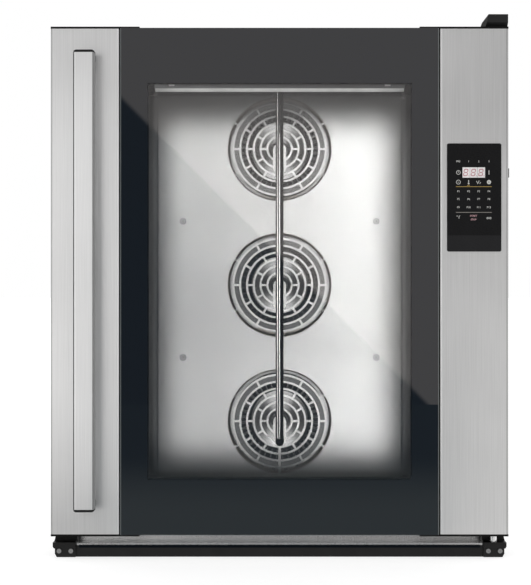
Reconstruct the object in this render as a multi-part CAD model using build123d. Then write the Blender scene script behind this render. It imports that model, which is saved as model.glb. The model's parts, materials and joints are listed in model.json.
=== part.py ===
from build123d import *
import math
import os

# Convection oven for ten 600 x 400 trays, hinged on its right side. Millimetres.
# X runs right, Y to the back, Z up. The origin is on the floor, at the middle of the oven.

# Overall size
WIDTH = 800.0  # door and body, left to right
DEPTH = 829.0  # front of the handle to the ends of the pipes
HEIGHT = 952.0  # floor to the top of the upper hinge bracket
SHEET = 1.5  # steel sheet of body, liner and door
HOLE_PLAY = 1.0  # how much wider a hole is than the pipe in it
RUNNING = 0.05  # radial clearance of a pin in its bush

# Stations along Y, from the handle back
HANDLE_REACH = 58.0  # front of the handle to the door's face
DOOR_DEPTH = 70.0
DOOR_GAP = 8.0  # between door and body, filled by the gasket
HANDLE_FRONT = -DEPTH / 2
DOOR_FRONT = HANDLE_FRONT + HANDLE_REACH
DOOR_BACK = DOOR_FRONT + DOOR_DEPTH
BODY_FRONT = DOOR_BACK + DOOR_GAP
PIPE_END = DEPTH / 2
BODY_BACK = PIPE_END - 16.0

# Body shell
SHELL_HALF = WIDTH / 2 - 2.0  # the body is a little narrower than the door
SHELL_IN = SHELL_HALF - SHEET
BASE_TOP = 20.0  # top of the base tubes
BASE_FRONT, BASE_BACK = -336.0, 390.0
BASE_HALF = 391.0
BASE_WALL = 2.0
BODY_TOP = 922.0
PAN_TOP = BASE_TOP + SHEET
ROOF_LOW = BODY_TOP - SHEET
VENT_WIDTH = 6.0
VENT_LENGTH = 90.0
VENT_PITCH = 14.0
SIDE_VENT_Y = 354.0  # the motor compartment's air slots

# Cavity
CAVITY_HALF = 325.0  # half the clear width
CAVITY_HEIGHT = 800.0
CAVITY_ROUND = 15.0  # inner radius of its long edges
CENTRE_Z = 478.0  # middle of the cavity, and of the middle fan
CAVITY_LOW = CENTRE_Z - CAVITY_HEIGHT / 2
CAVITY_HIGH = CENTRE_Z + CAVITY_HEIGHT / 2
CAVITY_BACK = 278.5  # inner face of the liner's rear wall
LINER_BACK = CAVITY_BACK + SHEET
LINER_HALF = CAVITY_HALF + SHEET
LINER_LOW, LINER_HIGH = CAVITY_LOW - SHEET, CAVITY_HIGH + SHEET
BOARD = 30.0  # insulation board
ROOF_BOARD = 25.0
BULKHEAD_FRONT = LINER_BACK + BOARD
BULKHEAD_BACK = BULKHEAD_FRONT + 2.0

# Fans, one above the other
FAN_PITCH = 281.0
FAN_HEIGHTS = {
    "bottom": CENTRE_Z - FAN_PITCH,
    "middle": CENTRE_Z,
    "top": CENTRE_Z + FAN_PITCH,
}
WHEEL_R = 97.0  # impeller, outside
WHEEL_SHEET = 1.5
EYE_R = 66.0  # inner ends of its blades
WHEEL_FRONT = 206.0
WHEEL_BACK = 262.0
BLADE_COUNT = 40
BLADE_THICK = 1.2
HUB_FRONT, HUB_BACK = 222.0, 246.0
SHAFT_D = 14.0
SHAFT_HOLE_D = 24.0
MOTOR_TAIL = 18.0  # how far shafts and heater legs reach behind the bulkhead

# Baffle in front of the fans, with a punched ring grille for each
BAFFLE_FRONT = DOOR_FRONT + 550.0
BAFFLE_BACK = BAFFLE_FRONT + SHEET
BAFFLE_HALF = 252.0
BAFFLE_RETURN = 12.0  # depth of the bent sides
BAFFLE_BEND = 3.0
BAFFLE_CLEAR = 4.0  # to floor and ceiling
GRILLE_R = 107.5
RING_PITCH = 14.05
SLOT_WIDTH = 10.0
SLOT_RINGS = 6
BRIDGE = 4.3
STRAP_WIDTH = 26.9  # solid strap that carries the tube's lug
STRAP_UP = 11.4  # above the fan's centre
STRAP_DOWN = 52.1
BAFFLE_SCREW_X = 199.6
BAFFLE_SCREW_DROP = 9.0  # the screws sit a little below the middle between two fans
POST_D = 12.0

# Ring heaters round the impellers
HEATER_R = 108.0
HEATER_TUBE = 8.0
HEATER_RINGS = ((215.0, 7.0), (240.0, 20.0))  # station along Y, half gap in degrees
GATE_DROP, GATE_WIDTH, GATE_HEIGHT = -104.0, 90.0, 18.0  # opening for a heater's legs
GATE_PLATE = 2.0

# Tray racks
LEVELS = 10
LEVEL_PITCH = 75.0
FIRST_LEVEL = 131.0
RAIL_WIRE = 6.0
RAIL_BEND = 8.0
RAIL_X = 290.0  # centre of the wire that carries the tray
UPRIGHT_X = 307.0  # inner face of the uprights
UPRIGHT = 10.0  # square tube
UPRIGHT_LOW, UPRIGHT_HIGH = 100.0, 856.0
UPRIGHT_STATIONS = (-240.0, 130.0)

# Humidity tube in front of the grilles
TUBE_D = 16.0
TUBE_BORE = 13.0
TUBE_Y = 179.5
TUBE_LOW = 161.9
TUBE_HIGH = 905.0
PLUG_D = 16.4
ELBOW_HALF = 11.0

# Water, drain, flue and mains at the back
WATER_PIPE_D, WATER_PIPE_BORE, WATER_PIPE_Z = 8.0, 6.0, 913.0
INLET_X, INLET_Z, INLET_D, INLET_NECK, INLET_BORE = -250.0, 850.0, 26.4, 24.0, 18.0
VALVE_Y = 365.0
DRAIN_Y, DRAIN_Z, DRAIN_D, DRAIN_BORE = 60.0, 38.0, 30.0, 27.0
DRAIN_TURN = 20.0
SPIGOT_D = 32.0
FLUE_X, FLUE_Y, FLUE_D, FLUE_BORE = 200.0, 230.0, 50.0, 46.0
FLUE_TOP = 950.0
GLAND_X, GLAND_Z, GLAND_BORE, GLAND_THREAD = 300.0, 90.0, 18.0, 24.6

# Door
PROFILE = 119.5  # width of each steel panel
PROFILE_IN = WIDTH / 2 - PROFILE
DOOR_LOW = 42.3  # steel, without its caps
DOOR_HIGH = 925.9
CAP = 3.6
CAP_REACH = 35.5  # how far a corner cap runs over the glass
GLASS_HALF = 277.5
GLASS_LOW = 41.1
GLASS_HIGH = 927.4
OUTER_PANE = 6.0
INNER_PANE = 5.0
PRINT = 0.4  # black border behind the outer pane
WINDOW_HALF, WINDOW_LOW, WINDOW_HIGH = 229.0, 140.0, 829.0
RAIL_LOW_TOP = 100.0  # top of the door's bottom rail
RAIL_HIGH_LOW = 865.0  # underside of its top rail

# Lamp under the door's top rail
LAMP_HALF = 220.0
LAMP_FRONT, LAMP_BACK = -334.0, -318.0
LAMP_LOW, LAMP_SPLIT, LAMP_HIGH = 818.5, 824.0, 833.0  # lit strip below the split, housing above
CLIP_X = 190.0

# Handle
BAR_X, BAR_WIDTH, BAR_DEPTH = -336.0, 35.0, 30.0
BAR_LOW, BAR_HIGH = 92.6, 877.4
BAR_ROUND = 3.0
BAR_WALL = 2.5
BAR_CAP, BAR_CAP_EDGE = 4.6, 2.6  # whole height of an end cap, and of its upright edge
POST_INSET = 28.0
BAR_BACK = HANDLE_FRONT + BAR_DEPTH

# Control panel, its figures and its board
PANEL_X, PANEL_WIDTH, PANEL_LOW, PANEL_HIGH = 339.9, 94.9, 536.4, 725.4
PANEL_THICK = 0.8
SCREEN_X, SCREEN_WIDTH, SCREEN_LOW, SCREEN_HIGH = 340.0, 40.0, 664.5, 683.2
SCREEN_DEPTH = 7.5
PORT_Y, PORT_LOW, PORT_HIGH = -338.0, 666.9, 682.5
PORT_Z = (PORT_LOW + PORT_HIGH) / 2

# Hinge axis, and the brackets that carry it
HINGE_X, HINGE_Y = 376.5, -331.5
PIN_D = 12.0
BUSH_D = 22.0
SEAT = 26.0  # height of the bushes and of their blocks
BRACKET_IN = 358.4
BRACKET_OUT = WIDTH / 2 - 1.7
BRACKET_TOP = 36.5
BRACKET_BACK = -290.0
LUG_LOW, LUG_HIGH = 15.5, 26.0
BRACKET_FRONT = -341.0

# Roller catch in the door's left panel, and its strike on the body
CATCH_Z = 478.0
STRIKE_X = -376.0
STRIKE_THICK = 4.0
NOSE_R, NOSE_PROUD, NOSE_Y = 3.0, 1.2, -301.0
ROLLER_D, ROLLER_HALF = 12.0, 5.0
ROLLER_X, ROLLER_Y = -366.1, -296.0
ROLLER_PIN = 4.0
HOUSING_LEFT, HOUSING_RIGHT, HOUSING_END = -350.0, -315.0, 4.0
PLUNGER_D, PLUNGER_END = 10.0, -335.0
SPRING_D, SPRING_INSIDE = 9.0, 6.4


def block(x0, x1, y0, y1, z0, z1):
    """A box given by its faces."""
    return Pos((x0 + x1) / 2, (y0 + y1) / 2, (z0 + z1) / 2) * Box(x1 - x0, y1 - y0, z1 - z0)


def prism_x(sketch, x0, x1):
    """A sketch in Y and Z, carried along X."""
    return extrude(Plane.YZ.offset(x0) * sketch, x1 - x0)


def prism_y(sketch, y0, y1):
    """A sketch in X and Z, carried along Y."""
    return extrude(Plane.XZ.offset(-y1) * sketch, y1 - y0)


def prism_z(sketch, z0, z1):
    """A sketch in X and Y, carried along Z."""
    return extrude(Plane.XY.offset(z0) * sketch, z1 - z0)


def rod_x(diameter, x0, x1, y, z):
    return prism_x(Pos(y, z) * Circle(diameter / 2), x0, x1)


def rod_y(diameter, y0, y1, x, z):
    return prism_y(Pos(x, z) * Circle(diameter / 2), y0, y1)


def rod_z(diameter, z0, z1, x, y):
    return prism_z(Pos(x, y) * Circle(diameter / 2), z0, z1)


def tube_along(path, outside, inside):
    """A pipe swept along a path."""
    start = Plane(path @ 0, z_dir=path % 0)
    return sweep(start * Circle(outside / 2), path) - sweep(start * Circle(inside / 2), path)


def outline(*points):
    """A closed face through the points."""
    return make_face(Polyline(*points, close=True))


def both_sides(shape):
    """The shape and its mirror image across the oven's middle plane."""
    return [shape, mirror(shape, Plane.YZ)]


def group(pieces):
    """Separate solids in one node."""
    return Compound([solid for piece in pieces for solid in piece.solids()])


def base_frame():
    """Four rectangular tubes: two along the sides, one across the front and one across the back."""
    deep = 30.0
    rail_in = BRACKET_IN + 0.1

    def tube(width):
        return Rectangle(width, BASE_TOP) - Rectangle(width - 2 * BASE_WALL, BASE_TOP - 2 * BASE_WALL)

    middle = BASE_TOP / 2
    side = Pos((rail_in + BASE_HALF) / 2, middle) * tube(BASE_HALF - rail_in)
    front = Pos(BASE_FRONT + deep / 2, middle) * tube(deep)
    rear = Pos(BASE_BACK - deep / 2, middle) * tube(deep)
    across = [prism_x(section, -rail_in, rail_in) for section in (front, rear)]
    return group([*both_sides(prism_y(side, BASE_FRONT, BASE_BACK)), *across])


def drip_gutter():
    """Folded channel under the door that catches its condensate."""
    front, lip, rear_height = BASE_FRONT + 2.0, 4.0, 34.0
    half = BRACKET_IN - 1.4
    section = outline(
        (front, BASE_TOP),
        (BODY_FRONT, BASE_TOP),
        (BODY_FRONT, BASE_TOP + rear_height),
        (BODY_FRONT - SHEET, BASE_TOP + rear_height),
        (BODY_FRONT - SHEET, PAN_TOP),
        (front + SHEET, PAN_TOP),
        (front + SHEET, BASE_TOP + lip),
        (front, BASE_TOP + lip),
    )
    return prism_x(section, -half, half)


def vents(count, pitch=VENT_PITCH, length=VENT_LENGTH):
    """A row of upright slots, side by side about the origin."""
    slot = SlotOverall(length, VENT_WIDTH, rotation=90)
    first = -(count - 1) * pitch / 2
    return Sketch() + [Pos(first + i * pitch, 0) * slot for i in range(count)]


def bottom_pan():
    """Floor of the body, with air slots under the motors."""
    pan = block(-SHELL_HALF, SHELL_HALF, BODY_FRONT, BODY_BACK, BASE_TOP, PAN_TOP)
    slots = Pos(0, 337.0) * vents(9, pitch=22.0, length=40.0)
    return pan - prism_z(slots, BASE_TOP, PAN_TOP)


def side_panels():
    """Left and right outer panels, with two fields of air slots at the motor compartment."""
    panel = block(SHELL_IN, SHELL_HALF, BODY_FRONT, BODY_BACK, PAN_TOP, ROOF_LOW)
    for height in (130.0, 812.0):
        panel -= prism_x(Pos(SIDE_VENT_Y, height) * vents(5), SHELL_IN, SHELL_HALF)
    return group(both_sides(panel))


def top_panel():
    """Roof, with the flue's hole."""
    roof = block(-SHELL_HALF, SHELL_HALF, BODY_FRONT, BODY_BACK, ROOF_LOW, BODY_TOP)
    return roof - rod_z(FLUE_D + HOLE_PLAY, ROOF_LOW, BODY_TOP, FLUE_X, FLUE_Y)


def back_panel():
    """Rear cover, with a field of air slots behind each motor and holes for the connections."""
    inside = BODY_BACK - SHEET
    panel = block(-SHELL_IN, SHELL_IN, inside, BODY_BACK, PAN_TOP, ROOF_LOW)
    cuts = [Pos(0, height) * vents(9) for height in FAN_HEIGHTS.values()]
    cuts.append(Pos(INLET_X, INLET_Z) * Circle((INLET_NECK + HOLE_PLAY) / 2))
    cuts.append(Pos(0, DRAIN_Z) * Circle((DRAIN_D + HOLE_PLAY) / 2))
    cuts.append(Pos(GLAND_X, GLAND_Z) * Circle(GLAND_THREAD / 2 + 0.2))
    return panel - prism_y(Sketch() + cuts, inside, BODY_BACK)


def rear_openings():
    """Holes that the rear wall, the insulation and the bulkhead share."""
    holes = []
    for height in FAN_HEIGHTS.values():
        holes.append(Pos(0, height) * Circle(SHAFT_HOLE_D / 2))
        holes.append(Pos(0, height + GATE_DROP) * Rectangle(GATE_WIDTH, GATE_HEIGHT))
    return Sketch() + holes


def rear_bulkhead():
    """Plate behind the insulation that carries the motors and the power board."""
    plate = block(-SHELL_IN, SHELL_IN, BULKHEAD_FRONT, BULKHEAD_BACK, PAN_TOP, ROOF_LOW)
    cuts = rear_openings()
    cuts += Pos(0, DRAIN_Z) * Circle((DRAIN_D + HOLE_PLAY) / 2)
    cuts += Pos(0, WATER_PIPE_Z) * Circle(WATER_PIPE_D / 2 + HOLE_PLAY)
    return plate - prism_y(cuts, BULKHEAD_FRONT, BULKHEAD_BACK)


def insulation_boards():
    """Five mineral wool boards round the liner, cut for what passes through them."""
    out_half = LINER_HALF + BOARD
    front = BODY_FRONT + SHEET
    side = block(LINER_HALF, out_half, front, BULKHEAD_FRONT, LINER_LOW, LINER_HIGH)
    back = block(-LINER_HALF, LINER_HALF, LINER_BACK, BULKHEAD_FRONT, LINER_LOW, LINER_HIGH)
    back -= prism_y(rear_openings(), LINER_BACK, BULKHEAD_FRONT)
    low = LINER_LOW - BOARD
    floor = block(-out_half, out_half, front, BULKHEAD_FRONT, low, LINER_LOW)
    trench = DRAIN_D / 2 + 2.0
    floor -= block(-trench, trench, DRAIN_Y - trench, BULKHEAD_FRONT, low, DRAIN_Z + trench)
    floor -= rod_z(2 * trench, low, LINER_LOW, 0, DRAIN_Y)
    high = LINER_HIGH + ROOF_BOARD
    roof = block(-out_half, out_half, front, BULKHEAD_FRONT, LINER_HIGH, high)
    roof -= rod_z(FLUE_D + HOLE_PLAY, LINER_HIGH, high, FLUE_X, FLUE_Y)
    roof -= rod_z(TUBE_D + HOLE_PLAY, LINER_HIGH, high, 0, TUBE_Y)
    return group([*both_sides(side), back, floor, roof])


def baffle_screw_places():
    """Across and up, for the four screws of the baffle."""
    heights = [CENTRE_Z + side * FAN_PITCH / 2 - BAFFLE_SCREW_DROP for side in (-1, 1)]
    return [(x, z) for z in heights for x in (-BAFFLE_SCREW_X, BAFFLE_SCREW_X)]


def cavity_ceiling():
    """Ceiling sheet of the cavity, with the holes for the flue and the humidity tube."""
    flat_half = CAVITY_HALF - CAVITY_ROUND
    ceiling = block(-flat_half, flat_half, BODY_FRONT, CAVITY_BACK, CAVITY_HIGH, LINER_HIGH)
    ceiling -= rod_z(TUBE_D + 0.4, CAVITY_HIGH, LINER_HIGH, 0, TUBE_Y)
    return ceiling - rod_z(FLUE_BORE, CAVITY_HIGH, LINER_HIGH, FLUE_X, FLUE_Y)


def liner_walls():
    """Flat floor and side sheets of the cavity, and its rear wall."""
    flat_half = CAVITY_HALF - CAVITY_ROUND
    floor = block(-flat_half, flat_half, BODY_FRONT, CAVITY_BACK, LINER_LOW, CAVITY_LOW)
    floor -= rod_z(DRAIN_BORE, LINER_LOW, CAVITY_LOW, 0, DRAIN_Y)
    low, high = CAVITY_LOW + CAVITY_ROUND, CAVITY_HIGH - CAVITY_ROUND
    side = block(CAVITY_HALF, LINER_HALF, BODY_FRONT, CAVITY_BACK, low, high)
    skin = RectangleRounded(2 * LINER_HALF, CAVITY_HEIGHT + 2 * SHEET, CAVITY_ROUND + SHEET)
    rear = prism_y(Pos(0, CENTRE_Z) * skin - rear_openings(), CAVITY_BACK, LINER_BACK)
    return [floor, *both_sides(side), rear]


def liner_corners():
    """Rounded strips along the cavity's long edges; each ends in a gusset of the front flange."""
    reach = CAVITY_ROUND + SHEET
    quarter = Pos(reach / 2, reach / 2) * Rectangle(reach, reach)
    bend = quarter & (Circle(reach) - Circle(CAVITY_ROUND))
    place = Pos(CAVITY_HALF - CAVITY_ROUND, CAVITY_HIGH - CAVITY_ROUND)
    step = BODY_FRONT + SHEET
    strip = prism_y(place * (quarter - Circle(CAVITY_ROUND)), BODY_FRONT, step)
    strip += prism_y(place * bend, step, CAVITY_BACK)
    upper = both_sides(strip)
    return upper + [mirror(solid, Plane.XY.offset(CENTRE_Z)) for solid in upper]


def liner_flange():
    """Four bars of the flange round the cavity's mouth."""
    back = BODY_FRONT + SHEET
    side = block(LINER_HALF, SHELL_IN, BODY_FRONT, back, PAN_TOP, ROOF_LOW)
    sill = block(-LINER_HALF, LINER_HALF, BODY_FRONT, back, PAN_TOP, LINER_LOW)
    head = block(-LINER_HALF, LINER_HALF, BODY_FRONT, back, LINER_HIGH, ROOF_LOW)
    return [*both_sides(side), sill, head]


def cavity_liner():
    """Welded box without its ceiling: flat sheets, rounded corner strips, flange, baffle posts."""
    posts = [rod_y(POST_D, BAFFLE_BACK, CAVITY_BACK, x, z) for x, z in baffle_screw_places()]
    return group(liner_walls() + liner_corners() + liner_flange() + posts)


def rounded_frame(outer, inner):
    """A frame about the cavity's centre between two rounded rectangles: width, height, radius."""
    return Pos(0, CENTRE_Z) * (RectangleRounded(*outer) - RectangleRounded(*inner))


def door_gasket():
    """Silicone seal on the flange, all round the mouth; its bead stops just short of the door."""
    step = BODY_FRONT - 3.0
    foot = rounded_frame((694.0, 840.0, 34.0), (666.0, 816.0, 22.0))
    bead = rounded_frame((688.0, 834.0, 31.0), (674.0, 822.0, 25.0))
    return prism_y(foot, step, BODY_FRONT) + prism_y(bead, DOOR_BACK + 0.3, step)


def grille_cut():
    """What is punched out for one fan: rings of slots, bridged by turns, and a hole in the middle."""
    reach = 2 * GRILLE_R + 2
    upright = Rectangle(BRIDGE + 1, reach)
    cut = Circle(GRILLE_R - SLOT_RINGS * RING_PITCH)
    for ring in range(SLOT_RINGS):
        outside = GRILLE_R - ring * RING_PITCH
        slots = Circle(outside) - Circle(outside - SLOT_WIDTH)
        turns = (0, 60, 120) if ring % 2 else (30, 150)
        if ring == SLOT_RINGS - 1:
            turns = (0,)
        for turn in turns:
            slots -= Rot(0, 0, turn) * Rectangle(reach, BRIDGE)
        cut += slots - upright
    strap = SlotOverall(STRAP_UP + STRAP_DOWN, STRAP_WIDTH, rotation=90)
    return cut - Pos(0, (STRAP_UP - STRAP_DOWN) / 2) * strap


def fan_baffle():
    """Rear baffle: a tray with bent sides and three ring grilles; air returns past its sides."""
    low, high = CAVITY_LOW + BAFFLE_CLEAR, CAVITY_HIGH - BAFFLE_CLEAR
    back = BAFFLE_BACK + BAFFLE_RETURN
    hollow_half = BAFFLE_HALF - SHEET
    outside = block(-BAFFLE_HALF, BAFFLE_HALF, BAFFLE_FRONT, back, low, high)
    hollow = block(-hollow_half, hollow_half, BAFFLE_BACK, back + 1, low - 1, high + 1)

    def front_edges(solid):
        return solid.edges().filter_by(Axis.Z).group_by(Axis.Y)[0]

    tray = fillet(front_edges(outside), BAFFLE_BEND)
    tray -= fillet(front_edges(hollow), BAFFLE_BEND - SHEET)
    for height in FAN_HEIGHTS.values():
        tray -= prism_y(Pos(0, height) * grille_cut(), BAFFLE_FRONT, BAFFLE_BACK)
    return tray


def baffle_screws():
    """Four round heads with a sunk face and a stud in the middle, in front of the baffle's posts."""
    head_d, face_d, stud_d, proud = 13.4, 10.2, 5.0, 3.0
    front = BAFFLE_FRONT - proud
    screws = []
    for x, z in baffle_screw_places():
        screw = rod_y(head_d, front, BAFFLE_FRONT, x, z)
        screw -= rod_y(face_d, front, front + proud / 2, x, z)
        screw += rod_y(stud_d, front, BAFFLE_FRONT, x, z)
        screws.append(screw)
    return group(screws)


def heater_legs(height):
    """Across, up and station of each leg of one fan's heater."""
    legs = []
    for station, half_gap in HEATER_RINGS:
        across = HEATER_R * math.sin(math.radians(half_gap))
        end_z = height - HEATER_R * math.cos(math.radians(half_gap))
        legs += [(-across, end_z, station), (across, end_z, station)]
    return legs


def heater_rings(height):
    """Two open rings of sheathed tube round an impeller; the ends turn back as straight legs."""
    rings = []
    for station, half_gap in HEATER_RINGS:
        ring = Torus(HEATER_R, HEATER_TUBE / 2, major_angle=360 - 2 * half_gap)
        gap_down = Rot(0, 90 - half_gap, 0) * Rot(90, 0, 0)
        heater = Pos(0, station, height) * gap_down * ring
        for x, end_z, leg_station in heater_legs(height):
            if leg_station == station:
                heater += Pos(x, station, end_z) * Sphere(HEATER_TUBE / 2)
                heater += rod_y(HEATER_TUBE, station, BULKHEAD_BACK + MOTOR_TAIL, x, end_z)
        rings.append(heater)
    return rings


def heater_gate(height):
    """Plate over the opening in the rear wall, bored for one heater's legs."""
    front = CAVITY_BACK - GATE_PLATE
    gate = prism_y(
        Pos(0, height + GATE_DROP) * Rectangle(GATE_WIDTH + 12, GATE_HEIGHT + 8), front, CAVITY_BACK
    )
    for x, end_z, _ in heater_legs(height):
        gate -= rod_y(HEATER_TUBE + 2 * RUNNING, front, CAVITY_BACK, x, end_z)
    return gate


def heating_elements():
    pieces = []
    for height in FAN_HEIGHTS.values():
        pieces += [*heater_rings(height), heater_gate(height)]
    return group(pieces)


def impeller(height):
    """Centrifugal wheel: dished back disc with a hub, upright blades and a flat front ring."""
    hub_r = 18.0
    flare_r = hub_r + 2.0
    flat_r = EYE_R - 6.0
    ring_r = WHEEL_R - 14.0
    web = outline(
        (SHAFT_D / 2, HUB_FRONT),
        (hub_r, HUB_FRONT),
        (flare_r, HUB_BACK - 6),
        (flat_r, WHEEL_BACK),
        (WHEEL_R, WHEEL_BACK),
        (WHEEL_R, WHEEL_BACK + WHEEL_SHEET),
        (flat_r, WHEEL_BACK + WHEEL_SHEET),
        (flare_r, HUB_BACK - 4),
        (hub_r, HUB_BACK),
        (SHAFT_D / 2, HUB_BACK),
    )
    ring_back = WHEEL_FRONT + WHEEL_SHEET
    ring = outline(
        (ring_r, WHEEL_FRONT), (WHEEL_R, WHEEL_FRONT), (WHEEL_R, ring_back), (ring_r, ring_back)
    )
    half = BLADE_THICK / 2
    blade = block(EYE_R, WHEEL_R - 1, ring_back, WHEEL_BACK, -half, half)
    turn = 360 / BLADE_COUNT
    blades = [Rot(0, turn * (i + 0.5), 0) * blade for i in range(BLADE_COUNT)]
    pieces = [revolve(web, Axis.Y), revolve(ring, Axis.Y), *blades]
    return group([Pos(0, 0, height) * piece for piece in pieces])


def fan_shaft(height):
    """Motor shaft with the domed nut that holds the impeller on it."""
    nut_r, dome_d, dome_front, nut_front = 11.0, 16.0, 214.0, 216.5
    shaft = rod_y(SHAFT_D, HUB_FRONT, BULKHEAD_BACK + MOTOR_TAIL, 0, height)
    nut = prism_y(Pos(0, height) * RegularPolygon(nut_r, 6), nut_front, HUB_FRONT)
    return shaft + nut + rod_y(dome_d, dome_front, nut_front, 0, height)


def fan_motor(height):
    """Flanged motor behind the bulkhead: square flange, ribbed can and end bell."""
    flange_side, flange_round, flange_thick = 104.0, 12.0, 5.0
    can_d, bell_d, bell_depth, room = 84.0, 64.0, 10.0, 16.0
    rib_d, rib_count, rib_pitch, rib_width = 90.0, 5, 11.0, 4.0
    face = BULKHEAD_BACK
    can_front = face + flange_thick
    can_back = BODY_BACK - SHEET - room
    flange = Pos(0, height) * RectangleRounded(flange_side, flange_side, flange_round)
    motor = prism_y(flange, face, can_front) + rod_y(can_d, can_front, can_back, 0, height)
    for rib in range(rib_count):
        station = can_front + 3 + rib * rib_pitch
        motor += rod_y(rib_d, station, station + rib_width, 0, height)
    motor += rod_y(bell_d, can_back, can_back + bell_depth, 0, height)
    return motor - rod_y(SHAFT_D + 2 * RUNNING, face, face + MOTOR_TAIL + 2, 0, height)


def fan_motors():
    return group([fan_motor(height) for height in FAN_HEIGHTS.values()])


def rack_upright(station):
    """Square upright of the right rack, with two pads against the liner."""
    pad_d, pad_inset = 12.0, 20.0
    front, back = station - UPRIGHT / 2, station + UPRIGHT / 2
    upright = block(UPRIGHT_X, UPRIGHT_X + UPRIGHT, front, back, UPRIGHT_LOW, UPRIGHT_HIGH)
    for pad in (UPRIGHT_LOW + pad_inset, UPRIGHT_HIGH - pad_inset):
        upright += rod_x(pad_d, UPRIGHT_X + UPRIGHT, CAVITY_HALF, station, pad)
    return upright


def rack_rail(height):
    """One bent wire of the right rack: out from an upright, along the tray's edge, and back in."""
    front, rear = UPRIGHT_STATIONS
    path = FilletPolyline(
        (UPRIGHT_X, front, height),
        (RAIL_X, front, height),
        (RAIL_X, rear, height),
        (UPRIGHT_X, rear, height),
        radius=RAIL_BEND,
    )
    profile = Plane(path @ 0, z_dir=path % 0) * Circle(RAIL_WIRE / 2)
    return sweep(profile, path)


def right_rack():
    """Two uprights and a wire rail at each tray level."""
    rails = [rack_rail(FIRST_LEVEL + level * LEVEL_PITCH) for level in range(LEVELS)]
    return group([rack_upright(station) for station in UPRIGHT_STATIONS] + rails)


def humidity_tube():
    """Upright water tube with a drip hole and a lug at each fan, and an elbow on top."""
    lug_half, lug_low, lug_high, drip_d = 5.0, -31.0, -19.0, 2.5
    back = TUBE_Y + ELBOW_HALF
    tube = rod_z(TUBE_D, TUBE_LOW, TUBE_HIGH, 0, TUBE_Y)
    tube += block(-ELBOW_HALF, ELBOW_HALF, TUBE_Y - ELBOW_HALF, back, TUBE_HIGH, ROOF_LOW - 0.5)
    for height in FAN_HEIGHTS.values():
        tube += block(-lug_half, lug_half, TUBE_Y, BAFFLE_FRONT, height + lug_low, height + lug_high)
    tube -= rod_z(TUBE_BORE, TUBE_LOW, TUBE_HIGH + 4, 0, TUBE_Y)
    for height in FAN_HEIGHTS.values():
        tube -= rod_y(drip_d, TUBE_Y, TUBE_Y + TUBE_D, 0, height)
    return tube


def tube_end_plug():
    """Black plug with a round end, in the bottom of the humidity tube."""
    ball = TUBE_LOW - 7.0
    stem_top = TUBE_LOW + 8.0
    plug = rod_z(PLUG_D, ball, TUBE_LOW, 0, TUBE_Y) + Pos(0, TUBE_Y, ball) * Sphere(PLUG_D / 2)
    return plug + rod_z(TUBE_BORE, TUBE_LOW, stem_top, 0, TUBE_Y)


def water_pipe():
    """Copper pipe from the valve, across and forward under the roof, to the tube's elbow."""
    turn = 25.0
    valve_top = INLET_Z + 18.0
    path = FilletPolyline(
        (0, TUBE_Y + ELBOW_HALF, WATER_PIPE_Z),
        (0, VALVE_Y, WATER_PIPE_Z),
        (INLET_X, VALVE_Y, WATER_PIPE_Z),
        (INLET_X, VALVE_Y, valve_top),
        radius=turn,
    )
    return tube_along(path, WATER_PIPE_D, WATER_PIPE_BORE)


def water_valve():
    """Solenoid valve: threaded inlet behind the back panel, flange, body, coil and outlet stub."""
    inside = BODY_BACK - SHEET
    flange_d, flange_thick, stub_d = 36.0, 4.0, 14.0
    body_front = VALVE_Y - 20.0
    valve = rod_y(INLET_D, BODY_BACK, PIPE_END, INLET_X, INLET_Z)
    valve += rod_y(flange_d, inside - flange_thick, inside, INLET_X, INLET_Z)
    valve += rod_y(INLET_NECK, body_front, BODY_BACK, INLET_X, INLET_Z)
    valve += rod_z(stub_d, INLET_Z, INLET_Z + 18.0, INLET_X, VALVE_Y)
    coil_half, coil_low, coil_high = 16.0, INLET_Z - 46.0, INLET_Z - 8.0
    coil_front = VALVE_Y - 15.0
    valve += block(
        INLET_X - coil_half, INLET_X + coil_half, coil_front, coil_front + 32.0, coil_low, coil_high
    )
    return valve - rod_y(INLET_BORE, inside, PIPE_END, INLET_X, INLET_Z)


def drain_pipe():
    """Stub under the cavity's floor, an elbow, and a run to the back that ends in a spigot."""
    stub_low = DRAIN_Z + DRAIN_TURN
    run_front = DRAIN_Y + DRAIN_TURN
    wall = Circle(DRAIN_D / 2) - Circle(DRAIN_BORE / 2)
    stub = prism_z(Pos(0, DRAIN_Y) * wall, stub_low, LINER_LOW)
    pivot = Axis((0, run_front, stub_low), (1, 0, 0))
    elbow = revolve(Plane.XY.offset(stub_low) * Pos(0, DRAIN_Y) * wall, pivot, 90)
    run = rod_y(DRAIN_D, run_front, BODY_BACK, 0, DRAIN_Z)
    run += rod_y(SPIGOT_D, BODY_BACK, PIPE_END, 0, DRAIN_Z)
    run -= rod_y(DRAIN_BORE, run_front, PIPE_END, 0, DRAIN_Z)
    return group([stub, elbow, run])


def exhaust_flue():
    """Flue from the cavity's ceiling through the roof, with a collar plate."""
    collar, collar_round, collar_thick = 80.0, 8.0, 2.0
    flue = rod_z(FLUE_D, LINER_HIGH, FLUE_TOP, FLUE_X, FLUE_Y)
    plate = Pos(FLUE_X, FLUE_Y) * RectangleRounded(collar, collar, collar_round)
    flue += prism_z(plate, BODY_TOP, BODY_TOP + collar_thick)
    return flue - rod_z(FLUE_BORE, LINER_HIGH, FLUE_TOP, FLUE_X, FLUE_Y)


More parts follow.
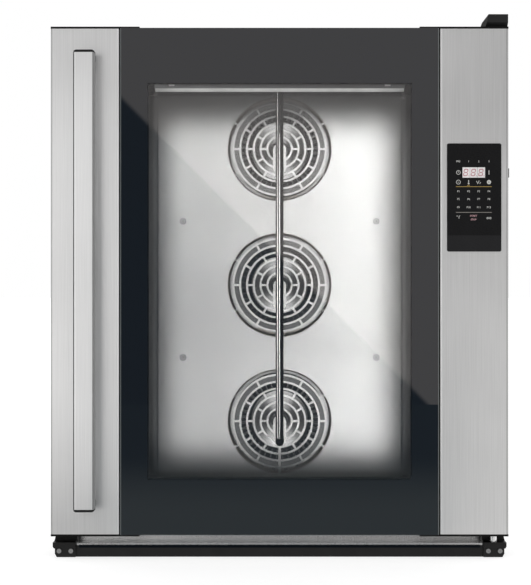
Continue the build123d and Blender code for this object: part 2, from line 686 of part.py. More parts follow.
def cable_gland():
    """Hexagonal gland for the mains cable, with its locknut inside the back panel."""
    nut_r, cap_d, nut_thick, lock_thick = 18.0, 28.0, 6.0, 5.0
    nut = Pos(GLAND_X, GLAND_Z) * RegularPolygon(nut_r, 6)
    inside = BODY_BACK - SHEET
    thread_front, cap_back = inside - 10.0, BODY_BACK + 13.0
    gland = prism_y(nut, BODY_BACK, BODY_BACK + nut_thick)
    gland += prism_y(nut, inside - lock_thick, inside)
    gland += rod_y(GLAND_THREAD, thread_front, BODY_BACK + 10.0, GLAND_X, GLAND_Z)
    gland += rod_y(cap_d, BODY_BACK + nut_thick, cap_back, GLAND_X, GLAND_Z)
    return gland - rod_y(GLAND_BORE, thread_front, cap_back, GLAND_X, GLAND_Z)


def power_board():
    """Circuit board on four spacers behind the bulkhead, with relays, a transformer and a filter."""
    x0, x1, z0, z1 = 170.0, 350.0, 380.0, 620.0
    spacer_d, spacer_inset, stand_off, laminate = 8.0, 10.0, 8.0, 2.0
    relay_count, relay_pitch, relay_width = 5, 31.0, 22.0
    face = BULKHEAD_BACK + stand_off
    top = face + laminate
    board = block(x0, x1, face, top, z0, z1)
    for x in (x0 + spacer_inset, x1 - spacer_inset):
        for z in (z0 + spacer_inset, z1 - spacer_inset):
            board += rod_y(spacer_d, BULKHEAD_BACK, face, x, z)
    for i in range(relay_count):
        left = x0 + 20 + i * relay_pitch
        board += block(left, left + relay_width, top, top + 18, z1 - 60, z1 - 30)
    board += block(x0 + 20, x0 + 80, top, top + 34, z0 + 30, z0 + 85)
    board += block(x1 - 40, x1 - 15, top, top + 12, z0 + 30, z0 + 150)
    return board


def top_hinge_bracket():
    """Black bracket on the roof that reaches forward over the door and holds its upper pin."""
    low = DOOR_HIGH + CAP + 1.5
    front, root, foot_back, foot_thick = -352.0, -270.0, -205.0, 8.0
    side = outline(
        (front, low + 7),
        (front + 10, low),
        (root, low),
        (root, BODY_TOP),
        (foot_back, BODY_TOP),
        (foot_back, BODY_TOP + foot_thick),
        (root + 18, HEIGHT),
        (front, HEIGHT),
    )
    left = 361.0
    bracket = prism_x(side, left, WIDTH / 2)
    slant = outline((left - 1, low - 20), (left, low - 1), (left + 5, HEIGHT + 1), (left - 1, HEIGHT + 1))
    bracket -= prism_y(slant, front - 1, foot_back + 1)
    return bracket - rod_z(PIN_D, low - 1, low + 14.0, HINGE_X, HINGE_Y)


def lower_bracket():
    """Right lower bracket: plate on the base, a lug for the door's pin, and a web behind it."""
    chamfer_top, chamfer = 6.0, 3.5
    plate_out = BRACKET_OUT - chamfer
    plate = outline(
        (BRACKET_IN, 0),
        (plate_out - chamfer, 0),
        (plate_out, chamfer_top),
        (plate_out, LUG_LOW),
        (BRACKET_IN, LUG_LOW),
    )
    lug = outline(
        (BRACKET_IN, LUG_LOW),
        (BRACKET_OUT - 2.0, LUG_LOW),
        (BRACKET_OUT, LUG_LOW + 3),
        (BRACKET_OUT, LUG_HIGH),
        (BRACKET_IN, LUG_HIGH),
    )
    web = outline(
        (BRACKET_IN, LUG_HIGH),
        (BRACKET_OUT, LUG_HIGH),
        (BRACKET_OUT - 2.5, BRACKET_TOP),
        (BRACKET_IN, BRACKET_TOP),
    )
    bracket = prism_y(plate, BRACKET_FRONT, BASE_FRONT)
    bracket += prism_y(lug, BRACKET_FRONT - 2, BASE_FRONT)
    bracket += block(BRACKET_IN, BRACKET_OUT, BASE_FRONT, BRACKET_BACK, BASE_TOP, LUG_HIGH)
    return bracket + prism_y(web, HINGE_Y + 14, BRACKET_BACK)


def lower_right_bracket():
    return lower_bracket() - rod_z(PIN_D, BASE_TOP, LUG_HIGH, HINGE_X, HINGE_Y)


def hinge_pins():
    """Upper pin, and lower pin with the collar that the door stands on."""
    engaged, collar_d, collar_high = 20.0, 18.0, DOOR_LOW - CAP - 0.1
    upper = rod_z(PIN_D, DOOR_HIGH - engaged, DOOR_HIGH + CAP + 15.5, HINGE_X, HINGE_Y)
    lower = rod_z(PIN_D, BASE_TOP, DOOR_LOW + engaged, HINGE_X, HINGE_Y)
    lower += rod_z(collar_d, collar_high - 2.5, collar_high, HINGE_X, HINGE_Y)
    return group([upper, lower])


def bracket_screws():
    """Two socket screws in the front of each lower bracket."""
    head_d, socket_r, proud, height = 8.0, 2.3, 2.4, 11.0
    front = BRACKET_FRONT - proud
    screws = []
    for x in (-387.2, -366.5, 366.5, 387.2):
        socket = prism_y(Pos(x, height) * RegularPolygon(socket_r, 6), front, BRACKET_FRONT - 1)
        screws.append(rod_y(head_d, front, BRACKET_FRONT, x, height) - socket)
    return group(screws)


def door_strike():
    """Plate on the flange with a tongue that enters the door; its nose holds the roller."""
    plate_half_width, plate_half_height, plate_thick = 12.0, 20.0, 3.0
    tongue_tip, tongue_half = -305.0, 10.0
    root = BODY_FRONT - plate_thick
    left, right = STRIKE_X - STRIKE_THICK / 2, STRIKE_X + STRIKE_THICK / 2
    plate = block(
        STRIKE_X - plate_half_width,
        STRIKE_X + plate_half_width,
        root,
        BODY_FRONT,
        CATCH_Z - plate_half_height,
        CATCH_Z + plate_half_height,
    )
    tongue = Pos(STRIKE_X, (tongue_tip + root) / 2) * Rectangle(STRIKE_THICK, root - tongue_tip)
    nose = Pos(right + NOSE_PROUD - NOSE_R, NOSE_Y) * Circle(NOSE_R)
    nose -= Pos(left - 5, NOSE_Y) * Rectangle(10, 20)
    return plate + prism_z(tongue + nose, CATCH_Z - tongue_half, CATCH_Z + tongue_half)


def door_profile():
    """Left steel panel of the door: a rectangular tube with softly rounded upright edges."""
    centre = Pos(-WIDTH / 2 + PROFILE / 2, (DOOR_FRONT + DOOR_BACK) / 2)
    skin = RectangleRounded(PROFILE, DOOR_DEPTH, 2.5)
    hollow = RectangleRounded(PROFILE - 2 * SHEET, DOOR_DEPTH - 2 * SHEET, 1.0)
    return prism_z(centre * (skin - hollow), DOOR_LOW, DOOR_HIGH)


def door_left_profile():
    """Left panel, slotted at the back for the strike."""
    half = 13.0
    left, right = STRIKE_X - 6.0, STRIKE_X + 9.0
    slot = block(left, right, DOOR_BACK - SHEET, DOOR_BACK, CATCH_Z - half, CATCH_Z + half)
    return door_profile() - slot


def door_right_profile():
    """Right panel: hinge blocks for the bushes, an opening behind the touch panel, a port hole."""
    inner, front = WIDTH / 2 - SHEET, DOOR_FRONT + SHEET
    seat_left, seat_back = 356.0, -308.0
    port_d = 9.0
    profile = mirror(door_profile(), Plane.YZ)
    for low in (DOOR_LOW, DOOR_HIGH - SEAT):
        profile += block(seat_left, inner, front, seat_back, low, low + SEAT)
        profile -= rod_z(BUSH_D, low, low + SEAT, HINGE_X, HINGE_Y)
    margin = 9.5
    half = PANEL_WIDTH / 2 - margin
    low, high = PANEL_LOW + 1.6 * margin, PANEL_HIGH - 1.6 * margin
    profile -= block(PANEL_X - half, PANEL_X + half, DOOR_FRONT, front, low, high)
    return profile - rod_x(port_d, inner, WIDTH / 2, PORT_Y, PORT_Z)


def corner_caps():
    """Four black caps on the ends of the steel panels; each runs on over the edge of the glass."""
    over_glass = -330.0
    reach = PROFILE_IN - CAP_REACH
    low, high = DOOR_LOW - CAP, DOOR_HIGH + CAP
    upper = block(PROFILE_IN, WIDTH / 2, DOOR_FRONT, DOOR_BACK, DOOR_HIGH, high)
    upper += block(reach, PROFILE_IN, DOOR_FRONT, over_glass, GLASS_HIGH, high)
    lower = block(PROFILE_IN, WIDTH / 2, DOOR_FRONT, DOOR_BACK, low, DOOR_LOW)
    lower += block(reach, PROFILE_IN, DOOR_FRONT, over_glass, low, GLASS_LOW)
    pin_hole = rod_z(PIN_D + HOLE_PLAY, low, high, HINGE_X, HINGE_Y)
    left = [mirror(upper, Plane.YZ), mirror(lower, Plane.YZ)]
    return group([*left, upper - pin_hole, lower - pin_hole])


def outer_glass():
    return block(-GLASS_HALF, GLASS_HALF, DOOR_FRONT, DOOR_FRONT + OUTER_PANE, GLASS_LOW, GLASS_HIGH)


def window_border():
    """Black print fired on the back of the outer pane, open at the window."""
    front = DOOR_FRONT + OUTER_PANE
    middle = Pos(0, (WINDOW_LOW + WINDOW_HIGH) / 2)
    window = middle * RectangleRounded(2 * WINDOW_HALF, WINDOW_HIGH - WINDOW_LOW, 4.0)
    sheet = Pos(0, (GLASS_LOW + GLASS_HIGH) / 2) * Rectangle(2 * GLASS_HALF, GLASS_HIGH - GLASS_LOW)
    return prism_y(sheet - window, front, front + PRINT)


def door_rail(low, high):
    """Cross tube between the steel panels, behind the outer glass."""
    front = DOOR_FRONT + OUTER_PANE + PRINT
    depth, height = DOOR_BACK - front, high - low
    section = Rectangle(depth, height) - Rectangle(depth - 2 * SHEET, height - 2 * SHEET)
    return prism_x(Pos(front + depth / 2, low + height / 2) * section, -PROFILE_IN, PROFILE_IN)


def inner_glass():
    """Clear inner pane, flush with the back of the door."""
    front = DOOR_BACK - INNER_PANE
    return block(-PROFILE_IN, PROFILE_IN, front, DOOR_BACK, RAIL_LOW_TOP, RAIL_HIGH_LOW)


def lamp_housing():
    """Aluminium channel above the lit strip."""
    return block(-LAMP_HALF, LAMP_HALF, LAMP_FRONT, LAMP_BACK, LAMP_SPLIT, LAMP_HIGH)


def lamp_diffuser():
    """Lit strip, half round underneath."""
    depth = LAMP_BACK - LAMP_FRONT - 2
    middle = (LAMP_FRONT + LAMP_BACK) / 2
    section = Pos(middle, LAMP_SPLIT) * Ellipse(depth / 2, LAMP_SPLIT - LAMP_LOW)
    section -= Pos(middle, LAMP_SPLIT + 10) * Rectangle(depth + 2, 20)
    return prism_x(section, -LAMP_HALF + 1, LAMP_HALF - 1)


def lamp_clips():
    """Two clips that hang the lamp from the door's top rail."""
    half, thick, reach, grip = 5.0, 1.6, 12.0, 5.0
    left, right = CLIP_X - half, CLIP_X + half
    clip = block(left, right, LAMP_FRONT - thick, LAMP_FRONT, LAMP_HIGH - grip, RAIL_HIGH_LOW)
    clip += block(left, right, LAMP_FRONT, LAMP_FRONT + reach, RAIL_HIGH_LOW - thick, RAIL_HIGH_LOW)
    return group(both_sides(clip))


def bar_section(grow=0.0):
    """The handle's section: a soft rectangle."""
    centre = Pos(BAR_X, HANDLE_FRONT + BAR_DEPTH / 2)
    return centre * RectangleRounded(BAR_WIDTH + grow, BAR_DEPTH + grow, BAR_ROUND)


def handle_bar():
    """Long upright bar, an extruded tube."""
    return prism_z(bar_section() - bar_section(-2 * BAR_WALL), BAR_LOW, BAR_HIGH)


def handle_end_caps():
    """Black caps that close the bar, domed outward."""
    rise = BAR_CAP - BAR_CAP_EDGE
    edge = prism_z(bar_section(), BAR_HIGH, BAR_HIGH + BAR_CAP_EDGE)
    crown = loft([bar_section(), Pos(0, 0, rise) * bar_section(-5.0)])
    upper = edge + Pos(0, 0, BAR_HIGH + BAR_CAP_EDGE) * crown
    lower = mirror(upper, Plane.XY.offset((BAR_LOW + BAR_HIGH) / 2))
    return group([upper, lower])


def handle_posts():
    """Two black stand-offs between the bar and the door."""
    width, height, corner = BAR_WIDTH - 3, 30.0, 4.0
    posts = []
    for level in (BAR_LOW + POST_INSET, BAR_HIGH - POST_INSET):
        section = Pos(BAR_X, level) * RectangleRounded(width, height, corner)
        posts.append(prism_y(section, BAR_BACK, DOOR_FRONT))
    return group(posts)


def control_panel():
    """Black touch panel on the right steel panel."""
    height = PANEL_HIGH - PANEL_LOW
    face = Pos(PANEL_X, PANEL_LOW + height / 2) * RectangleRounded(PANEL_WIDTH, height, 3.0)
    return prism_y(face, DOOR_FRONT - PANEL_THICK, DOOR_FRONT)


def display_module():
    """Block of figures behind the touch panel."""
    left, right = SCREEN_X - SCREEN_WIDTH / 2, SCREEN_X + SCREEN_WIDTH / 2
    return block(left, right, DOOR_FRONT, DOOR_FRONT + SCREEN_DEPTH, SCREEN_LOW, SCREEN_HIGH)


def control_board():
    """Circuit board behind the touch panel, on four spacers, with a chip and the data socket."""
    x0, x1, z0, z1 = 296.0, 384.0, 545.0, 717.0
    laminate, spacer_d, inset_x, inset_z = 1.6, 5.0, 3.0, 3.5
    front = DOOR_FRONT + SCREEN_DEPTH
    back = front + laminate
    board = block(x0, x1, front, back, z0, z1)
    for x in (x0 + inset_x, x1 - inset_x):
        for z in (z0 + inset_z, z1 - inset_z):
            board += rod_y(spacer_d, DOOR_FRONT + SHEET, front, x, z)
    chip, socket_half = 36.0, 7.0
    low, high = PORT_Z - socket_half, PORT_Z + socket_half
    board += block(SCREEN_X - 10, SCREEN_X - 10 + chip, back, back + 7.4, 600.0, 640.0)
    board += block(x1 - 12, x1, back, back + 4.4, low, high)
    return board + block(x1, x1 + 13, back, back + 12.4, low, high)


def port_cover():
    """Rubber cover of the data port, on the door's right edge."""
    edge, half, thick, stem_d = WIDTH / 2, 7.0, 2.6, 8.6
    cover = block(edge, edge + thick, PORT_Y - half, PORT_Y + half, PORT_LOW, PORT_HIGH)
    return cover + rod_x(stem_d, edge - SHEET, edge, PORT_Y, PORT_Z)


def hinge_bushes():
    """Bronze bushes in the ends of the right panel."""
    bushes = []
    for low in (DOOR_LOW, DOOR_HIGH - SEAT):
        bush = rod_z(BUSH_D, low, low + SEAT, HINGE_X, HINGE_Y)
        bushes.append(bush - rod_z(PIN_D + 2 * RUNNING, low, low + SEAT, HINGE_X, HINGE_Y))
    return group(bushes)


def catch_housing():
    """Block on the back wall of the left panel; the plunger slides in its bore."""
    wall, half_deep, half_high = DOOR_BACK - SHEET, 10.0, 12.0
    housing = block(
        HOUSING_LEFT, HOUSING_RIGHT, ROLLER_Y - half_deep, wall, CATCH_Z - half_high, CATCH_Z + half_high
    )
    bore = PLUNGER_D + 2 * RUNNING
    return housing - rod_x(bore, HOUSING_LEFT, HOUSING_RIGHT - HOUSING_END, ROLLER_Y, CATCH_Z)


def catch_spring():
    """Spring between the plunger and the end of its bore, as a plain sleeve of its outline."""
    end = HOUSING_RIGHT - HOUSING_END
    sleeve = rod_x(SPRING_D, PLUNGER_END, end, ROLLER_Y, CATCH_Z)
    return sleeve - rod_x(SPRING_INSIDE, PLUNGER_END, end, ROLLER_Y, CATCH_Z)


def catch_plunger():
    """Sliding rod with a fork; a pin across the fork carries the roller."""
    shoulder, gap_end, ear, gap = -354.0, -358.5, 3.9, 5.3
    half, tip = 5.0, ROLLER_X - 4.4
    reach = gap + ear
    front, back = ROLLER_Y - half, ROLLER_Y + half
    rod = rod_x(PLUNGER_D, shoulder, PLUNGER_END, ROLLER_Y, CATCH_Z)
    fork = block(gap_end, shoulder, front, back, CATCH_Z - reach, CATCH_Z + reach)
    for low, high in ((CATCH_Z - reach, CATCH_Z - gap), (CATCH_Z + gap, CATCH_Z + reach)):
        fork += block(tip, gap_end, front, back, low, high)
    pin = rod_z(ROLLER_PIN, CATCH_Z - reach, CATCH_Z + reach, ROLLER_X, ROLLER_Y)
    return rod + fork + pin


def catch_roller():
    """Steel roller on the fork's pin."""
    low, high = CATCH_Z - ROLLER_HALF, CATCH_Z + ROLLER_HALF
    roller = rod_z(ROLLER_D, low, high, ROLLER_X, ROLLER_Y)
    return roller - rod_z(ROLLER_PIN + 2 * RUNNING, low, high, ROLLER_X, ROLLER_Y)


PIECES = {
    "base_frame": base_frame,
    "drip_gutter": drip_gutter,
    "bottom_pan": bottom_pan,
    "side_panels": side_panels,
    "top_panel": top_panel,
    "back_panel": back_panel,
    "rear_bulkhead": rear_bulkhead,
    "insulation_boards": insulation_boards,
    "cavity_liner": cavity_liner,
    "cavity_ceiling": cavity_ceiling,
    "door_gasket": door_gasket,
    "fan_baffle": fan_baffle,
    "baffle_screws": baffle_screws,
    "heating_elements": heating_elements,
    "fan_motors": fan_motors,
    "left_rack": lambda: group([mirror(solid, Plane.YZ) for solid in right_rack().solids()]),
    "right_rack": right_rack,
    "humidity_tube": humidity_tube,
    "tube_end_plug": tube_end_plug,
    "water_pipe": water_pipe,
    "water_valve": water_valve,
    "drain_pipe": drain_pipe,
    "exhaust_flue": exhaust_flue,
    "cable_gland": cable_gland,
    "power_board": power_board,
    "top_hinge_bracket": top_hinge_bracket,
    "lower_right_bracket": lower_right_bracket,
    "lower_left_bracket": lambda: mirror(lower_bracket(), Plane.YZ),
    "hinge_pins": hinge_pins,
    "bracket_screws": bracket_screws,
    "door_strike": door_strike,
    "door_left_profile": door_left_profile,
    "door_right_profile": door_right_profile,
    "corner_caps": corner_caps,
    "outer_glass": outer_glass,
    "window_border": window_border,
    "door_top_rail": lambda: door_rail(RAIL_HIGH_LOW, DOOR_HIGH),
    "door_bottom_rail": lambda: door_rail(DOOR_LOW, RAIL_LOW_TOP),
    "inner_glass": inner_glass,
    "lamp_housing": lamp_housing,
    "lamp_diffuser": lamp_diffuser,
    "lamp_clips": lamp_clips,
    "handle_bar": handle_bar,
    "handle_end_caps": handle_end_caps,
    "handle_posts": handle_posts,
    "control_panel": control_panel,
    "display_module": display_module,
    "control_board": control_board,
    "port_cover": port_cover,
    "hinge_bushes": hinge_bushes,
    "catch_housing": catch_housing,
    "catch_spring": catch_spring,
    "catch_plunger": catch_plunger,
    "catch_roller": catch_roller,
}

os.makedirs("parts", exist_ok=True)
for name, make in PIECES.items():
    export_step(make(), f"parts/{name}.step")
for place, height in FAN_HEIGHTS.items():
    export_step(impeller(height), f"parts/impeller_{place}.step")
    export_step(fan_shaft(height), f"parts/fan_shaft_{place}.step")
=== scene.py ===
# %% [markdown]
# # A baker's convection oven, seen square on
#
# The oven is a steel and glass door on a steel box. Behind the glass a bright baffle with
# three round grilles hides three fan wheels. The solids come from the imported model; this
# lesson gives them their finishes, and adds the small forms that a camera would notice.

import json
import math

import bmesh
import bpy
import numpy as np
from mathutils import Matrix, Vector


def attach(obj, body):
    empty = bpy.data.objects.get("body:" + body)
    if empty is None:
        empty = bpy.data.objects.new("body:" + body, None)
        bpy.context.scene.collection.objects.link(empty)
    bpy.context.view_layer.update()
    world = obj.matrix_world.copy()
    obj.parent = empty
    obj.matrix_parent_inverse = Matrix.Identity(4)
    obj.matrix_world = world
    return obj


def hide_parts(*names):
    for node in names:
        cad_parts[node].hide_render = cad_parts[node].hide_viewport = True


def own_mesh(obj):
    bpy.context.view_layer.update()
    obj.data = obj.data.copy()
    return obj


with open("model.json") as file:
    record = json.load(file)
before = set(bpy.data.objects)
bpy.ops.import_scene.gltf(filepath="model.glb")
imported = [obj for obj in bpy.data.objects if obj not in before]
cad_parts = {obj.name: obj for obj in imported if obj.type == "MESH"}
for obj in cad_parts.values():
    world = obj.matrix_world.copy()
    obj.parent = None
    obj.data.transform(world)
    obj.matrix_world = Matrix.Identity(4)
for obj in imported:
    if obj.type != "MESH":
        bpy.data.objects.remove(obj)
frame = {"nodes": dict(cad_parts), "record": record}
nodes = frame["nodes"]
scene = bpy.context.scene
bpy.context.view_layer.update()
mm = 0.001

# %% Sizes that several steps share, in millimetres
DOOR_FACE = -356.5
MIDDLE = 478.0  # height of the middle fan, and of the camera
WINDOW_WIDTH, WINDOW_HEIGHT, WINDOW_MIDDLE = 458.0, 689.0, 484.5
print("window:", WINDOW_WIDTH, "x", WINDOW_HEIGHT, "mm")

# %% [markdown]
# ## The camera
#
# The photograph looks straight at the door from about three metres, so only the front is
# seen. The lens follows from that distance and from the oven's size in the picture. The
# oven stands a little right of and above the middle of the frame, which a small lens shift
# gives without turning the camera.

# %% Stand the camera in front of the door
CAMERA_DISTANCE = 3.0
LENS = 105.66  # millimetres
SHIFT_ACROSS, SHIFT_UP = -0.0241, -0.0128  # parts of the picture's longer side

eye = bpy.data.cameras.new("portrait_lens")
eye.lens = LENS
eye.shift_x, eye.shift_y = SHIFT_ACROSS, SHIFT_UP
camera = bpy.data.objects.new("portrait_camera", eye)
camera.location = (0, DOOR_FACE * mm - CAMERA_DISTANCE, MIDDLE * mm)
camera.rotation_euler = (math.pi / 2, 0, 0)
scene.collection.objects.link(camera)
scene.camera = camera
print("camera stands", CAMERA_DISTANCE, "m from the door")

# %% [markdown]
# ## A small kit for surfaces
#
# Every new piece is a surface worked out with numpy. Two shapes cover most of a metal
# oven: an outline carried along a line, as for a bar, and a profile turned about an axis,
# as for a tube or a screw head. Both are grids of points. A grid's faces are found from
# its row and column numbers, for all faces at once.


# %% Faces of a grid
def grid_faces(rows, columns, round_rows=False, round_columns=False):
    """Quads between neighbours: each joins (row, column) to the next row and next column.
    A grid that closes on itself also joins its last row or column to the first."""
    row = np.arange(rows if round_rows else rows - 1)
    column = np.arange(columns if round_columns else columns - 1)
    a, b = np.meshgrid(row, column, indexing="ij")
    a2, b2 = (a + 1) % rows, (b + 1) % columns
    corners = [a * columns + b, a * columns + b2, a2 * columns + b2, a2 * columns + b]
    return np.stack(corners, axis=-1).reshape(-1, 4).tolist()


def joined(shapes):
    """Several (points, faces) shapes as one: each shape's faces are counted on from the last."""
    points, faces, start = [], [], 0
    for some_points, some_faces in shapes:
        points.append(some_points)
        faces.extend([[start + corner for corner in face] for face in some_faces])
        start += len(some_points)
    return np.concatenate(points), faces


def both_sides(shape):
    """The shape and its mirror image across the oven's middle: x goes to -x."""
    points, faces = shape
    return joined([shape, (points * np.array([-1.0, 1.0, 1.0]), faces)])


# %% An outline carried along a line
def soft_rectangle(width, height, corner, steps=6):
    """Corner arcs, a quarter turn each, about four centres set in from the corners."""
    quarter = np.linspace(0, math.pi / 2, steps)
    turns = np.concatenate([quarter + k * math.pi / 2 for k in range(4)])
    across = np.repeat([1, -1, -1, 1], steps) * (width / 2 - corner)
    up = np.repeat([1, 1, -1, -1], steps) * (height / 2 - corner)
    return np.stack([across + corner * np.cos(turns), up + corner * np.sin(turns)], axis=-1)


def carried(outlines, stations):
    """Point (i, j) is outline i's point j, lifted to station i. The ends are closed flat."""
    rows, columns = len(outlines), len(outlines[0])
    lift = np.repeat(stations, columns)[:, None]
    faces = grid_faces(rows, columns, round_columns=True)
    faces.append(list(range(columns))[::-1])
    faces.append([(rows - 1) * columns + j for j in range(columns)])
    return np.concatenate([np.concatenate(outlines), lift], axis=1), faces


def straight(outline, start, end):
    """One outline carried unchanged from the start to the end."""
    return carried([outline, outline], [start, end])


# %% A profile turned about an axis
def turned(profile, segments=48):
    """Profile point (r, h) at turn t goes to (r cos t, r sin t, h)."""
    radius, height = np.array(profile, float).T
    turn = np.linspace(0, 2 * math.pi, segments, endpoint=False)
    x, y = radius[:, None] * np.cos(turn), radius[:, None] * np.sin(turn)
    points = np.stack([x, y, np.repeat(height[:, None], segments, axis=1)], axis=-1)
    return points.reshape(-1, 3), grid_faces(len(radius), segments, round_columns=True)


# Axes that a shape can be laid along: each row says where its own x, y and z go
UPRIGHT = np.array([[1, 0, 0], [0, 1, 0], [0, 0, 1]], float)
FORWARD = np.array([[1, 0, 0], [0, 0, 1], [0, -1, 0]], float)
BACKWARD = np.array([[-1, 0, 0], [0, 0, 1], [0, 1, 0]], float)
RIGHTWARD = np.array([[0, 1, 0], [0, 0, 1], [1, 0, 0]], float)
LEFTWARD = np.array([[0, -1, 0], [0, 0, 1], [-1, 0, 0]], float)


def laid(shape, origin, axes=UPRIGHT):
    """Point p goes to origin + x ex + y ey + z ez."""
    points, faces = shape
    return points @ axes + np.array(origin), faces


# %% From a shape to a piece of the oven
WELD = 1e-6  # metres


def make_piece(name, shape, body, finish, crease=35.0):
    """Millimetre points become a metre mesh that rides on a body and wears a finish."""
    points, faces = shape
    mesh = bpy.data.meshes.new(name)
    mesh.from_pydata((points * mm).tolist(), [], faces)
    tidy = bmesh.new()
    tidy.from_mesh(mesh)
    bmesh.ops.remove_doubles(tidy, verts=tidy.verts, dist=WELD)
    bmesh.ops.recalc_face_normals(tidy, faces=tidy.faces)
    tidy.to_mesh(mesh)
    tidy.free()
    mesh.shade_smooth()
    mesh.set_sharp_from_angle(angle=math.radians(crease))
    mesh.materials.append(finish)
    piece = bpy.data.objects.new(name, mesh)
    scene.collection.objects.link(piece)
    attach(piece, body)
    print(f"{name}: {len(mesh.polygons)} faces on {body}")
    return piece


# %% [markdown]
# ## A small kit for finishes
#
# A finish is a Principled shader whose colour, roughness and bump come from noise. The
# noise reads Object coordinates, which are the oven's own metres, so a grain has its real
# size on every piece and runs on from one piece to the next.

# %% Nodes for a finish
LOW, HIGH = 0.3, 0.7  # most of a noise's values lie between these


def even(level):
    """A grey, or one scale for all three axes."""
    return (level, level, level)


def new_finish(name, metallic=0.0, roughness=0.5, colour=even(0.5)):
    """A material with a Principled shader; plain numbers are set on its own sockets."""
    finish = bpy.data.materials.new(name)
    finish.use_nodes = True
    shader = finish.node_tree.nodes["Principled BSDF"]
    shader.inputs["Metallic"].default_value = metallic
    shader.inputs["Roughness"].default_value = roughness
    shader.inputs["Base Color"].default_value = (*colour, 1)
    return finish, finish.node_tree, shader


def add(tree, kind, settings=None, **sockets):
    """A node of the given kind; settings are its properties, sockets its plain inputs."""
    node = tree.nodes.new("ShaderNode" + kind)
    for key, value in (settings or {}).items():
        setattr(node, key, value)
    for key, value in sockets.items():
        node.inputs[key.replace("_", " ")].default_value = value
    return node


# %% Noise, and what it drives
def grain(tree, scale, detail):
    """Noise on Object coordinates; the scale says how many waves a metre each axis has."""
    place = add(tree, "TexCoord")
    stretch = add(tree, "Mapping", Scale=scale)
    noise = add(tree, "TexNoise", Scale=1.0, Detail=detail, Roughness=0.6)
    tree.links.new(place.outputs["Object"], stretch.inputs["Vector"])
    tree.links.new(stretch.outputs["Vector"], noise.inputs["Vector"])
    return noise.outputs["Fac"]


def shades(tree, value, dark, light, low=LOW, high=HIGH):
    """A colour between dark and light, as the value goes from low to high."""
    ramp = add(tree, "ValToRGB")
    ramp.color_ramp.elements[0].position = low
    ramp.color_ramp.elements[0].color = (*dark, 1)
    ramp.color_ramp.elements[1].position = high
    ramp.color_ramp.elements[1].color = (*light, 1)
    tree.links.new(value, ramp.inputs["Fac"])
    return ramp.outputs["Color"]


def spread(tree, value, low, high):
    """A number from low to high, as a noise goes from its usual least to its most."""
    scale = add(tree, "MapRange", {"clamp": True}, From_Min=LOW, From_Max=HIGH)
    scale.inputs["To Min"].default_value = low
    scale.inputs["To Max"].default_value = high
    tree.links.new(value, scale.inputs["Value"])
    return scale.outputs["Result"]


def raised(tree, shader, value, height):
    """Bump: the value is read as a height in metres."""
    bump = add(tree, "Bump", Strength=1.0, Distance=height)
    tree.links.new(value, bump.inputs["Height"])
    tree.links.new(bump.outputs["Normal"], shader.inputs["Normal"])


# %% Tones that step along the oven
COLOUR_A, COLOUR_B, COLOUR_OUT = 6, 7, 2  # a Mix node's sockets when it mixes colours


def place_along(tree, axis):
    """How far along X, Y or Z a point lies, in metres."""
    place = add(tree, "TexCoord")
    split = add(tree, "SeparateXYZ")
    tree.links.new(place.outputs["Object"], split.inputs["Vector"])
    return split.outputs[axis]


def banded(tree, colour, axis, bands):
    """The colour times a tone that steps along an axis: each (metres, tone) holds to the next."""
    low, high = bands[0][0], bands[-1][0] + 0.01
    along = add(tree, "MapRange", From_Min=low, From_Max=high)
    ramp = add(tree, "ValToRGB")
    steps = ramp.color_ramp
    steps.interpolation = "CONSTANT"
    steps.elements.remove(steps.elements[1])
    for number, (metres, tone) in enumerate(bands):
        part = (metres - low) / (high - low)
        step = steps.elements[0] if number == 0 else steps.elements.new(part)
        step.color = (*even(tone), 1)
    product = add(tree, "Mix", {"data_type": "RGBA", "blend_type": "MULTIPLY"})
    product.inputs["Factor"].default_value = 1.0
    tree.links.new(place_along(tree, axis), along.inputs["Value"])
    tree.links.new(along.outputs["Result"], ramp.inputs["Fac"])
    tree.links.new(colour, product.inputs[COLOUR_A])
    tree.links.new(ramp.outputs["Color"], product.inputs[COLOUR_B])
    return product.outputs[COLOUR_OUT]


def finished(tree, shader, colour, bands, skin, roughness, sway, height):
    """Colour with its bands, and a skin noise that sways the roughness and is the bump."""
    if bands:
        colour = banded(tree, colour, *bands)
    tree.links.new(colour, shader.inputs["Base Color"])
    rough = spread(tree, skin, roughness - sway, roughness + sway)
    tree.links.new(rough, shader.inputs["Roughness"])
    raised(tree, shader, skin, height)


# %% [markdown]
# ## Steel
#
# The door's steel is brushed: thousands of fine scratches along the sheet, each a little
# lighter or darker. A noise that is stretched along one axis gives them. A second, broad
# noise gives the slow cloudiness that rolled sheet has. Bands along an axis paint light and
# shade into the colour: painted shade at folded edges, rims and deep in the wheels, and
# painted highlights on a few edges and down the tube.

# %% Brushed and plain steel
SCRATCHES, SCRATCH_LENGTHS = 900.0, 7.0  # in a metre across the scratches, and along them
SCRATCH_CONTRAST = 0.05


def brushed_steel(name, shade, along, roughness=0.34, bands=None):
    """Scratches run along one axis: the noise is slow there and quick across. The scratches'
    flanks scatter light too, so a fifth of the steel isn't metallic."""
    finish, tree, shader = new_finish(name, metallic=0.8, roughness=roughness)
    shader.inputs["Specular IOR Level"].default_value = 0.0
    scale = [SCRATCHES] * 3
    scale["xyz".index(along)] = SCRATCH_LENGTHS
    scratches = grain(tree, scale, detail=4.0)
    clouds = grain(tree, even(5.0), detail=2.0)
    both = add(tree, "Mix", {"data_type": "FLOAT"}, Factor=0.35)
    tree.links.new(scratches, both.inputs[2])
    tree.links.new(clouds, both.inputs[3])
    dark, light = even(shade - SCRATCH_CONTRAST), even(shade + SCRATCH_CONTRAST)
    colour = shades(tree, both.outputs[0], dark, light, 0.35, 0.65)
    finished(tree, shader, colour, bands, scratches, roughness, 0.05, 0.00001)
    return finish


